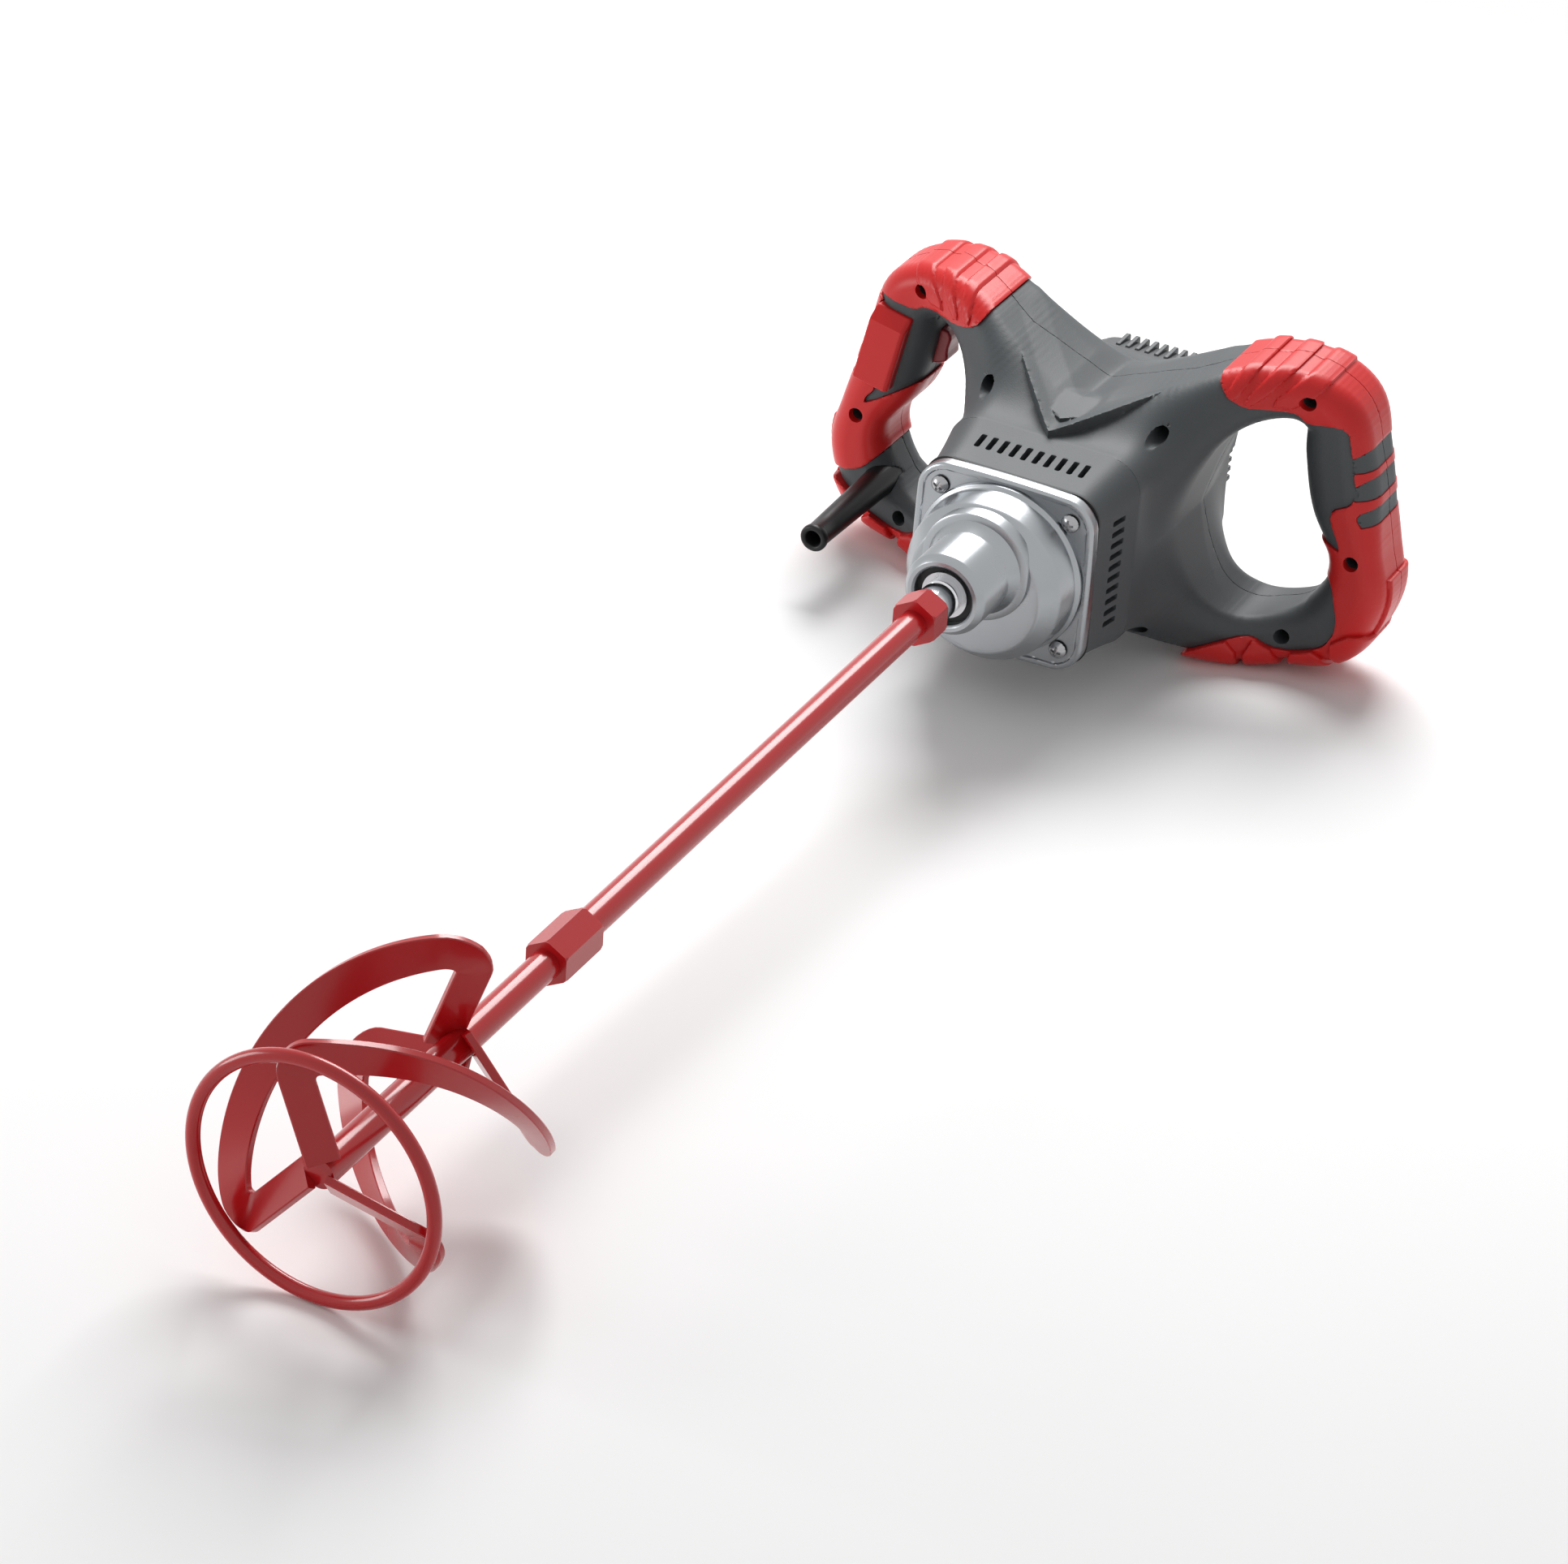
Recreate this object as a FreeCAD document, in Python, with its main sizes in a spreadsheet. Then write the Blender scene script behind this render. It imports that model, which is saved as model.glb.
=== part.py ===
import FreeCAD, Part
import math
import os

import Sketcher

# A two-handed mixing drill. The spindle lies along Y and the paddle points to -Y, Z is up, and the origin is the
# centre of the clamping collar on the spindle axis. The motor axis lies below the spindle, parallel to it.

document = FreeCAD.newDocument("mixing_drill")

# Driving dimensions: lengths in millimetres, and counts and angles that say so in their names.
dimensions = {
    # Gear case
    "collar_radius": 21.5,
    "collar_length": 25.0,
    "collar_root_length": 9.4,
    "collar_root_radius": 27.0,
    "nose_tip_length": 3.5,
    "nose_tip_radius": 18.9,
    "nose_mouth_radius": 15.3,
    "nose_mouth_depth": 15.0,
    "motor_drop": 14.0,
    "drum_radius": 42.8,
    "drum_length": 18.1,
    "shoulder_length": 9.0,
    "shoulder_radius": 34.8,
    "drum_wall": 4.8,
    "cavity_taper": 6.0,
    "cavity_tip_radius": 33.0,
    "front_wall": 7.0,
    "flange_half_width": 48.5,
    "flange_corner": 15.0,
    "flange_thickness": 8.0,
    "flange_rim": 2.5,
    "gasket_thickness": 1.0,
    "gasket_setback": 1.0,
    "flange_screw_place": 35.4,
    "flange_screw_radius": 2.5,
    "flange_screw_length": 22.0,
    "flange_head_radius": 5.0,
    "flange_head_height": 3.0,
    # Spindle and its bearings
    "spindle_face_radius": 12.0,
    "spindle_face_length": 10.0,
    "spindle_setback": 2.5,
    "spindle_radius": 8.5,
    "spindle_tail_radius": 4.0,
    "spindle_tail_length": 7.0,
    "spindle_bore_radius": 6.2,
    "spindle_bore_depth": 26.0,
    "seal_thickness": 5.0,
    "seal_setback": 4.5,
    "front_bearing_radius": 17.0,
    "front_bearing_width": 10.0,
    "tail_bush_radius": 6.0,
    "tail_boss_radius": 8.6,
    "tail_bush_length": 6.0,
    "running_fit": 0.05,
    "clear_gap": 0.5,
    # Gear train
    "output_module": 1.15625,
    "output_teeth_count": 30,
    "pinion_teeth_count": 10,
    "motor_module": 0.76,
    "motor_gear_teeth_count": 35,
    "output_gear_width": 11.0,
    "gear_side_gap": 1.1,
    "gear_stage_gap": 3.0,
    "pressure_deg": 20.0,
    "motor_gear_width": 6.0,
    "countershaft_radius": 4.0,
    "countershaft_bush_radius": 5.5,
    "countershaft_bush_length": 5.0,
    "gear_plate_thickness": 6.0,
    "plate_hub_radius": 17.0,
    "plate_hub_length": 9.0,
    "pinion_hole_radius": 6.6,
    "motor_pinion_length": 19.0,
    # Motor
    "motor_shaft_radius": 6.0,
    "motor_tail_radius": 4.0,
    "motor_bearing_radius": 14.0,
    "motor_bearing_width": 8.0,
    "rear_bearing_radius": 11.0,
    "rear_bearing_width": 7.0,
    "fan_back": 26.0,
    "fan_radius": 37.0,
    "fan_width": 13.0,
    "fan_hub_radius": 12.0,
    "fan_blade_count": 12,
    "fan_blade_thickness": 2.0,
    "fan_disc_thickness": 2.5,
    "core_back": 50.0,
    "core_radius": 24.0,
    "core_length": 46.0,
    "core_slot_count": 12,
    "core_slot_width": 3.0,
    "core_slot_depth": 9.0,
    "winding_radius": 21.0,
    "winding_length": 8.0,
    "air_gap": 1.0,
    "field_radius": 43.0,
    "field_coil_setback": 3.0,
    "field_coil_length": 7.0,
    "commutator_radius": 14.5,
    "commutator_length": 15.0,
    "commutator_gap": 2.0,
    "brush_width": 7.0,
    "brush_height": 10.0,
    "brush_length": 14.0,
    "brush_holder_wall": 1.8,
    "brush_holder_length": 24.0,
    "brush_gap": 0.3,
    "brush_setback": 2.5,
    # Motor housing
    "collar_housing_half_width": 47.0,
    "collar_housing_length": 35.0,
    "body_half_width": 52.5,
    "body_waist_half_width": 55.0,
    "body_waist_half_height": 50.0,
    "body_rear_half_width": 50.0,
    "body_rear_half_height": 46.0,
    "body_corner": 17.0,
    "body_wall": 4.0,
    "waist_back": 118.0,
    "rear_back": 168.0,
    "bulkhead_thickness": 11.0,
    "bulkhead_mouth": 2.7,
    "bulkhead_mouth_radius": 16.5,
    "bulkhead_port_radius": 7.0,
    "bulkhead_port_place": 30.0,
    "vent_slot_count": 10,
    "vent_slot_pitch": 6.3,
    "vent_slot_width": 2.6,
    "vent_slot_length": 10.5,
    "vent_slot_back": 23.0,
    "rear_cover_length": 22.0,
    "rear_cover_half_width": 43.0,
    "rear_cover_end_half_width": 40.0,
    "rear_fin_count": 9,
    "rear_fin_pitch": 5.4,
    "rear_fin_width": 2.4,
    "rear_fin_height": 3.0,
    "rear_fin_length": 15.0,
    "cover_screw_radius": 2.0,
    "cover_screw_length": 20.0,
    "cover_screw_head_radius": 3.8,
    "cover_screw_head_height": 2.6,
    "cover_screw_place": 33.0,
    # Handles
    "grip_reach": 150.0,
    "loop_rise": 86.0,
    "handle_back": 142.0,
    "grip_half_width": 19.0,
    "grip_half_depth": 22.0,
    "guard_skin": 1.6,
    "guard_ridge_height": 2.0,
    "bumper_height": 3.0,
    "outer_bumper_height": 6.0,
    "crest_height": 2.5,
    "crest_half_width": 54.0,
    "crest_length": 65.0,
    "seam_body_back": 118.0,
    "seam_body_half_width": 45.0,
    "seam_handle_half_width": 97.0,
    "shell_screw_radius": 2.0,
    "shell_screw_head_radius": 3.5,
    "shell_screw_head_height": 2.8,
    "shell_screw_bite": 12.0,
    "shell_screw_web": 9.0,
    "boss_hole_radius": 4.0,
    "overrun": 60.0,
    # Switch, trigger and cord entry
    "switch_width": 20.0,
    "switch_depth": 24.0,
    "switch_height": 34.0,
    "switch_reach": 127.0,
    "switch_rise": 34.0,
    "trigger_height": 20.0,
    "trigger_depth": 15.0,
    "trigger_length": 13.5,
    "trigger_travel": 6.0,
    "stem_radius": 2.5,
    "stem_length": 11.0,
    "trigger_gap": 0.4,
    "switch_cover_width": 21.0,
    "switch_cover_height": 44.0,
    "switch_cover_depth": 12.0,
    "switch_cover_stand": 7.0,
    "switch_cover_edge": 2.0,
    "switch_cover_tilt_deg": 12.0,
    "boot_reach": 124.0,
    "boot_drop": 44.0,
    "boot_base_radius": 7.5,
    "boot_tip_radius": 5.8,
    "boot_bead_radius": 6.6,
    "boot_bead_length": 5.0,
    "boot_bore_radius": 4.2,
    "boot_length": 76.0,
    "boot_foot_radius": 10.0,
    "boot_foot_length": 4.0,
    "boot_seat_depth": 6.0,
    "clamp_thickness": 5.0,
    # Paddle
    "adapter_across_flats": 22.0,
    "adapter_hex_length": 15.0,
    "adapter_neck_radius": 9.5,
    "adapter_neck_length": 18.0,
    "stud_radius": 6.2,
    "stud_length": 22.0,
    "shaft_radius": 7.0,
    "upper_shaft_length": 315.0,
    "coupling_across_flats": 20.0,
    "coupling_length": 32.0,
    "shaft_socket_depth": 12.0,
    "lower_shaft_length": 180.0,
    "ring_radius": 57.0,
    "ring_wire_radius": 3.15,
    "ring_drop": 4.95,
    "blade_radius": 59.0,
    "ribbon_width": 21.0,
    "blade_arm_width": 18.0,
    "blade_thickness": 4.0,
    "blade_rise": 95.0,
    "blade_count": 3,
    "blade_start_deg": 72.0,
    "blade_sweep_deg": 160.0,
    "blade_corner": 14.0,
    "blade_window_corner": 4.0,
    "blade_end_gap": 3.0,
}

sheet = document.addObject("Spreadsheet::Sheet", "sizes")
for row, (alias, value) in enumerate(dimensions.items(), start=1):
    sheet.set("A%d" % row, alias)
    sheet.set("B%d" % row, str(value))
    sheet.setAlias("B%d" % row, alias)
document.recompute()


class Size:
    """A value of the sheet, or a sum of such values, with the formula that ties it to the sheet."""

    def __init__(self, value, formula):
        self.value = float(value)
        self.formula = formula

    def __float__(self):
        return self.value

    def __add__(self, other):
        return Size(self.value + float(other), "(%s + %s)" % (self.formula, formula_of(other)))

    __radd__ = __add__

    def __neg__(self):
        return Size(-self.value, "(0 - %s)" % self.formula)

    def __sub__(self, other):
        return self + (-other)

    def __mul__(self, factor):
        return Size(self.value * float(factor), "(%s * %s)" % (self.formula, formula_of(factor)))

    __rmul__ = __mul__

    def __truediv__(self, divisor):
        return Size(self.value / float(divisor), "(%s / %s)" % (self.formula, formula_of(divisor)))


def formula_of(value):
    return value.formula if isinstance(value, Size) else repr(float(value))


class Sizes:
    """The sheet's values by name."""

    def __getattr__(self, alias):
        return Size(sheet.get(alias), "sizes." + alias)


X_AXIS = FreeCAD.Vector(1, 0, 0)
Y_AXIS = FreeCAD.Vector(0, 1, 0)
Z_AXIS = FreeCAD.Vector(0, 0, 1)

size = Sizes()
NONE = Size(0, "0")
TOUCH = 0.001
pieces = []


def vector(x, y, z):
    return FreeCAD.Vector(float(x), float(y), float(z))


def keep(piece, label):
    piece.Label = label
    pieces.append(piece)
    return piece


# Bodies made of sketched profiles

def new_body(label, x=NONE, z=NONE):
    body = document.addObject("PartDesign::Body", label)
    body.setExpression("Placement.Base.x", x.formula)
    body.setExpression("Placement.Base.z", z.formula)
    return keep(body, label)


def origin_plane(body, role):
    for feature in body.Origin.OriginFeatures:
        if feature.Role == role:
            return feature
    raise ValueError("no plane " + role)


def tie(sketch, kind, corner, value):
    """Hold one coordinate of a sketch corner to its formula."""
    if float(value) == 0:
        axis = -2 if kind == "DistanceX" else -1
        sketch.addConstraint(Sketcher.Constraint("PointOnObject", corner, 1, axis))
        return
    index = sketch.addConstraint(Sketcher.Constraint(kind, -1, 1, corner, 1, float(value)))
    sketch.setExpression("Constraints[%d]" % index, value.formula)


def outline(body, role, corners, lift=NONE):
    """A closed sketch of straight edges on an origin plane, lifted off it along its normal."""
    sketch = body.newObject("Sketcher::SketchObject", body.Name + "_outline")
    sketch.AttachmentSupport = (origin_plane(body, role), [""])
    sketch.MapMode = "FlatFace"
    sketch.setExpression("AttachmentOffset.Base.z", lift.formula)
    points = [vector(across, along, 0) for across, along in corners]
    following = points[1:] + points[:1]
    for start, end in zip(points, following):
        sketch.addGeometry(Part.LineSegment(start, end), False)
    for corner in range(len(points)):
        sketch.addConstraint(Sketcher.Constraint("Coincident", corner, 2, (corner + 1) % len(points), 1))
    for corner, (across, along) in enumerate(corners):
        tie(sketch, "DistanceX", corner, across)
        tie(sketch, "DistanceY", corner, along)
    return sketch


def turn(body, corners, lift=NONE, cut=False):
    """Revolve a profile of (radius, y) corners about the body's Y direction, raised by lift."""
    sketch = outline(body, "XY_Plane", corners, lift)
    kind = "Groove" if cut else "Revolution"
    feature = body.newObject("PartDesign::" + kind, body.Name + "_" + kind)
    feature.Profile = sketch
    feature.ReferenceAxis = (sketch, ["V_Axis"])
    feature.Angle = 360
    return feature


def extrude(body, corners, start, length, cut=False):
    """Pad or pocket a profile of (x, z) corners from y = start over a length towards +Y."""
    sketch = outline(body, "XZ_Plane", corners, -start)
    kind = "Pocket" if cut else "Pad"
    feature = body.newObject("PartDesign::" + kind, body.Name + "_" + kind)
    feature.Profile = sketch
    feature.setExpression("Length", length.formula)
    feature.Reversed = not cut
    return feature


def circles(body, places, radius, start):
    """A sketch of equal circles at (x, z) places, standing at y = start."""
    sketch = body.newObject("Sketcher::SketchObject", body.Name + "_circles")
    sketch.AttachmentSupport = (origin_plane(body, "XZ_Plane"), [""])
    sketch.MapMode = "FlatFace"
    sketch.setExpression("AttachmentOffset.Base.z", (-start).formula)
    for index, (x, z) in enumerate(places):
        sketch.addGeometry(Part.Circle(vector(x, z, 0), Z_AXIS, float(radius)), False)
        for kind, value in (("DistanceX", x), ("DistanceY", z)):
            if float(value) == 0:
                axis = -2 if kind == "DistanceX" else -1
                sketch.addConstraint(Sketcher.Constraint("PointOnObject", index, 3, axis))
                continue
            place = sketch.addConstraint(Sketcher.Constraint(kind, -1, 1, index, 3, float(value)))
            sketch.setExpression("Constraints[%d]" % place, value.formula)
        width = sketch.addConstraint(Sketcher.Constraint("Radius", index, float(radius)))
        sketch.setExpression("Constraints[%d]" % width, radius.formula)
    return sketch


def drill(body, places, radius, start, length):
    """Round holes along Y at (x, z) places, from y = start over a length towards +Y."""
    feature = body.newObject("PartDesign::Pocket", body.Name + "_holes")
    feature.Profile = circles(body, places, radius, start)
    feature.setExpression("Length", length.formula)
    feature.Reversed = False
    return feature


def boss(body, places, radius, start, length):
    """Round studs along Y at (x, z) places, from y = start over a length towards +Y."""
    feature = body.newObject("PartDesign::Pad", body.Name + "_bosses")
    feature.Profile = circles(body, places, radius, start)
    feature.setExpression("Length", length.formula)
    feature.Reversed = True
    return feature


def round_edges(body, feature, radius, wanted):
    """Fillet the edges of a feature that a test picks out."""
    document.recompute()
    names = ["Edge%d" % number for number, edge in enumerate(feature.Shape.Edges, start=1) if wanted(edge)]
    fillet = body.newObject("PartDesign::Fillet", body.Name + "_fillet")
    fillet.Base = (feature, names)
    fillet.setExpression("Radius", radius.formula)
    return fillet


def runs_along_y(edge):
    return abs(edge.BoundBox.YLength - edge.Length) < edge.Length / 100


def tube_corners(outer, inner, start, length):
    return [(inner, start), (outer, start), (outer, start + length), (inner, start + length)]


def tube(label, outer, inner, start, length, x=NONE, z=NONE):
    """A plain ring with its axis along Y."""
    body = new_body(label, x, z)
    turn(body, tube_corners(outer, inner, start, length))
    return body


def hexagon(across_flats):
    corner = across_flats / math.sqrt(3)
    return [(corner * math.cos(math.radians(60 * k)), corner * math.sin(math.radians(60 * k)))
            if k % 3 else (corner * math.cos(math.radians(60 * k)), NONE) for k in range(6)]


def box_corners(half_x, half_z):
    return [(-half_x, -half_z), (half_x, -half_z), (half_x, half_z), (-half_x, half_z)]


# Solids made by code, for the moulded and swept forms that sketches on planes don't reach

def solid(label, shape):
    feature = document.addObject("Part::Feature", label)
    feature.Shape = shape
    return keep(feature, label)


def rounded_wire(centre, across, up, half_across, half_up, corner):
    """A closed wire of four lines and four arcs about a centre, in the plane of two unit directions."""
    half_across, half_up, corner = float(half_across), float(half_up), float(corner)
    signs = ((1, 1), (-1, 1), (-1, -1), (1, -1))
    arcs = []
    for quarter, (sign_across, sign_up) in enumerate(signs):
        middle = centre + across * (sign_across * (half_across - corner)) + up * (sign_up * (half_up - corner))
        ends = []
        for step in range(3):
            angle = math.radians(90 * quarter + 45 * step)
            ends.append(middle + across * (corner * math.cos(angle)) + up * (corner * math.sin(angle)))
        arcs.append(ends)
    edges = []
    for ends, following in zip(arcs, arcs[1:] + arcs[:1]):
        edges.append(Part.Arc(*ends).toShape())
        edges.append(Part.makeLine(ends[2], following[0]))
    return Part.Wire(edges)


def square_wire(back, half_width, half_height, corner):
    """A rounded rectangle about the motor axis, standing across it."""
    return rounded_wire(vector(0, back, -size.motor_drop), X_AXIS, Z_AXIS, half_width, half_height, corner)


def prism(points, start, length):
    """A straight-edged prism of (x, z) points from y = start over a length."""
    corners = [vector(x, start, z) for x, z in points]
    face = Part.Face(Part.makePolygon(corners + corners[:1]))
    return face.extrude(Y_AXIS * float(length))


def block(x_range, y_range, z_range):
    """A box between pairs of coordinates."""
    low, high = zip(x_range, y_range, z_range)
    sides = [float(top) - float(bottom) for bottom, top in zip(low, high)]
    return Part.makeBox(*sides, vector(*low))


def rod(radius, start, length, x=NONE, z=NONE):
    """A cylinder along Y."""
    return Part.makeCylinder(float(radius), float(length), vector(x, start, z), Y_AXIS)


def mirrored(shape):
    return shape.mirror(FreeCAD.Vector(0, 0, 0), X_AXIS)


# Places along the spindle, worked out from the collar at the origin

collar_half = size.collar_length / 2
nose_front = -collar_half - size.nose_tip_length
shoulder_front = collar_half + size.collar_root_length
drum_front = shoulder_front + size.shoulder_length
flange_front = drum_front + size.drum_length
flange_back = flange_front + size.flange_thickness
motor_axis = -size.motor_drop
cavity_front = shoulder_front + size.front_wall
bearing_front = nose_front + size.nose_mouth_depth
face_front = nose_front + size.spindle_setback
gear_front = cavity_front + size.gear_side_gap
gear_back = gear_front + size.output_gear_width
motor_gear_front = gear_back + size.gear_stage_gap
plate_front = flange_back + size.gasket_thickness
plate_back = plate_front + size.gear_plate_thickness
collar_back = plate_front + size.collar_housing_length


def behind(distance):
    """A place that far behind the front face of the flange."""
    return flange_front + distance


# Place of the countershaft, from the two centre distances of the gear pairs

def root_of(value):
    return Size(math.sqrt(float(value)), "sqrt(%s)" % value.formula)


output_distance = size.output_module * (size.output_teeth_count + size.pinion_teeth_count) / 2
motor_distance = size.motor_module * (size.motor_gear_teeth_count + size.pinion_teeth_count) / 2
counter_z = (motor_distance * motor_distance - output_distance * output_distance
             - size.motor_drop * size.motor_drop) / (size.motor_drop * 2)
counter_x = root_of(output_distance * output_distance - counter_z * counter_z)
screw_places = [(size.flange_screw_place * x, size.flange_screw_place * z - size.motor_drop)
                for x in (-1, 1) for z in (-1, 1)]

# Gear case: a die casting with a square flange, a drum with a shoulder, and the nose with its clamping collar

gear_case = new_body("gear_case")
flange_corners = [(x, z - size.motor_drop) for x, z in box_corners(size.flange_half_width, size.flange_half_width)]
flange = extrude(gear_case, flange_corners, flange_front, size.flange_thickness)
flange = round_edges(gear_case, flange, size.flange_corner, runs_along_y)
round_edges(gear_case, flange, size.flange_rim, lambda edge: edge.BoundBox.YMax < float(flange_front) + TOUCH)
turn(gear_case, [(NONE, shoulder_front), (size.shoulder_radius, shoulder_front), (size.drum_radius, drum_front),
                 (size.drum_radius, flange_back), (NONE, flange_back)], lift=motor_axis)
turn(gear_case, [(NONE, nose_front), (size.nose_tip_radius, nose_front), (size.collar_radius, -collar_half),
                 (size.collar_radius, collar_half), (size.collar_root_radius, shoulder_front),
                 (size.collar_root_radius, cavity_front), (NONE, cavity_front)])
turn(gear_case, [(NONE, cavity_front), (size.cavity_tip_radius, cavity_front),
                 (size.drum_radius - size.drum_wall, cavity_front + size.cavity_taper),
                 (size.drum_radius - size.drum_wall, flange_back), (NONE, flange_back)],
     lift=motor_axis, cut=True)
turn(gear_case, [(NONE, nose_front), (size.nose_mouth_radius, nose_front), (size.nose_mouth_radius, bearing_front),
                 (size.front_bearing_radius, bearing_front), (size.front_bearing_radius, cavity_front),
                 (NONE, cavity_front)], cut=True)
drill(gear_case, screw_places, size.flange_screw_radius, flange_front, size.flange_thickness)
drill(gear_case, [(counter_x, counter_z)], size.countershaft_bush_radius,
      cavity_front - size.countershaft_bush_length, size.countershaft_bush_length)

# Gasket between the flange and the vented collar, cut back a little from the flange's outline

gasket = new_body("flange_gasket")
gasket_half = size.flange_half_width - size.gasket_setback
gasket_corners = [(x, z - size.motor_drop) for x, z in box_corners(gasket_half, gasket_half)]
gasket_pad = extrude(gasket, gasket_corners, flange_back, size.gasket_thickness)
round_edges(gasket, gasket_pad, size.flange_corner - size.gasket_setback, runs_along_y)
drill(gasket, [(NONE, motor_axis)], size.drum_radius - size.drum_wall, flange_back, size.gasket_thickness)
drill(gasket, screw_places, size.flange_screw_radius, flange_back, size.gasket_thickness)

# Spindle: a face with a threaded socket, a journal for the bearing and the gear, and a tail for the bush

spindle = new_body("spindle")
turn(spindle, [(size.spindle_bore_radius, face_front), (size.spindle_face_radius, face_front),
               (size.spindle_face_radius, face_front + size.spindle_face_length),
               (size.spindle_radius, face_front + size.spindle_face_length), (size.spindle_radius, gear_back),
               (size.spindle_tail_radius, gear_back),
               (size.spindle_tail_radius, gear_back + size.spindle_tail_length),
               (NONE, gear_back + size.spindle_tail_length), (NONE, face_front + size.spindle_bore_depth),
               (size.spindle_bore_radius, face_front + size.spindle_bore_depth)])

tube("spindle_seal", size.nose_mouth_radius, size.spindle_face_radius + size.running_fit,
     nose_front + size.seal_setback, size.seal_thickness)
tube("spindle_front_bearing", size.front_bearing_radius, size.spindle_radius + size.running_fit,
     bearing_front, size.front_bearing_width)
bush_front = gear_back + size.spindle_tail_length - size.tail_bush_length
tube("spindle_rear_bush", size.tail_bush_radius, size.spindle_tail_radius + size.running_fit,
     bush_front, size.tail_bush_length)

# Gear plate: closes the gear case, and carries the spindle's tail, the countershaft and the motor's front bearing

plate_hub_back = plate_back + size.plate_hub_length
gear_plate = new_body("gear_plate")
boss(gear_plate, [(NONE, motor_axis)], size.field_radius - size.clear_gap, plate_front, size.gear_plate_thickness)
boss(gear_plate, [(NONE, NONE)], size.tail_boss_radius, bush_front, plate_front - bush_front)
boss(gear_plate, [(NONE, motor_axis)], size.plate_hub_radius, plate_back, size.plate_hub_length)
drill(gear_plate, [(NONE, NONE)], size.tail_bush_radius, bush_front, size.tail_bush_length)
drill(gear_plate, [(NONE, motor_axis)], size.pinion_hole_radius, plate_front, plate_hub_back - plate_front)
drill(gear_plate, [(NONE, motor_axis)], size.motor_bearing_radius, plate_hub_back - size.motor_bearing_width,
      size.motor_bearing_width)
drill(gear_plate, [(counter_x, counter_z)], size.countershaft_bush_radius, plate_front,
      size.countershaft_bush_length)


# Gears: involute teeth with a little backlash, cut straight

def gear_prism(teeth, module, phase, start, length, x, z):
    """Toothed prism about an axis along Y, with a tooth centred on the phase angle."""
    teeth, module = int(float(teeth)), float(module)
    pitch_radius = module * teeth / 2
    base_radius = pitch_radius * math.cos(math.radians(float(size.pressure_deg)))
    tip_radius = pitch_radius + module * addendum_share
    foot_radius = pitch_radius - module * dedendum_share

    def half_angle(radius):
        slope = math.acos(min(1, base_radius / radius))
        pitch_slope = math.acos(base_radius / pitch_radius)
        spread = (math.tan(pitch_slope) - pitch_slope) - (math.tan(slope) - slope)
        return math.pi / teeth * tooth_share + spread

    low_radius = max(base_radius, foot_radius)
    flank = [low_radius + (tip_radius - low_radius) * share for share in flank_shares]
    points = []
    for tooth in range(teeth):
        middle = phase + 2 * math.pi * tooth / teeth
        side = [(foot_radius, half_angle(low_radius))] + [(radius, half_angle(radius)) for radius in flank]
        for radius, angle in side:
            points.append((radius, middle - angle))
        for radius, angle in reversed(side):
            points.append((radius, middle + angle))
    outline_points = [(float(x) + radius * math.cos(angle), float(z) + radius * math.sin(angle))
                      for radius, angle in points]
    return prism(outline_points, start, length)


addendum_share = 0.85
dedendum_share = 1.2
tooth_share = 0.46
flank_shares = (0.0, 0.35, 0.7, 1.0)

output_angle = math.atan2(float(counter_z), float(counter_x))
motor_angle = math.atan2(float(counter_z - motor_axis), float(counter_x))
half_turn = math.pi
output_gear = gear_prism(size.output_teeth_count, size.output_module, output_angle, gear_front,
                         size.output_gear_width, NONE, NONE)
solid("output_gear", output_gear.cut(rod(size.spindle_radius, gear_front, size.output_gear_width)))

counter_front = cavity_front - size.countershaft_bush_length
counter_back = plate_front + size.countershaft_bush_length
counter_pinion = gear_prism(size.pinion_teeth_count, size.output_module,
                            output_angle + half_turn + half_turn / float(size.pinion_teeth_count),
                            gear_front, size.output_gear_width, counter_x, counter_z)
counter_rod = rod(size.countershaft_radius, counter_front, counter_back - counter_front, counter_x, counter_z)
solid("countershaft", counter_pinion.fuse(counter_rod).removeSplitter())
counter_gear = gear_prism(size.motor_gear_teeth_count, size.motor_module,
                          motor_angle + half_turn + half_turn / float(size.motor_gear_teeth_count),
                          motor_gear_front, size.motor_gear_width, counter_x, counter_z)
solid("countershaft_gear", counter_gear.cut(counter_rod))

bush_inner = size.countershaft_radius + size.running_fit
tube("countershaft_front_bush", size.countershaft_bush_radius, bush_inner, counter_front,
     size.countershaft_bush_length, counter_x, counter_z)
tube("countershaft_rear_bush", size.countershaft_bush_radius, bush_inner, plate_front,
     size.countershaft_bush_length, counter_x, counter_z)

# Motor: armature with its pinion, core, windings, commutator and fan, inside the field core

core_front = behind(size.core_back)
core_end = core_front + size.core_length
commutator_front = core_end + size.winding_length + size.commutator_gap
commutator_back = commutator_front + size.commutator_length
holder_half = size.brush_height / 2 + size.brush_holder_wall
brush_middle = commutator_front + size.commutator_length / 2
bulkhead_front = brush_middle + holder_half
rear_bearing_front = bulkhead_front + size.bulkhead_mouth
shaft_back = rear_bearing_front + size.rear_bearing_width

motor_pinion = gear_prism(size.pinion_teeth_count, size.motor_module, motor_angle, motor_gear_front,
                          size.motor_pinion_length, NONE, motor_axis)
journal_front = motor_gear_front + size.motor_pinion_length
armature_shaft = motor_pinion.fuse([
    rod(size.motor_shaft_radius, journal_front, commutator_back - journal_front, NONE, motor_axis),
    rod(size.motor_tail_radius, commutator_back, shaft_back - commutator_back, NONE, motor_axis)])
solid("armature_shaft", armature_shaft.removeSplitter())

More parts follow.
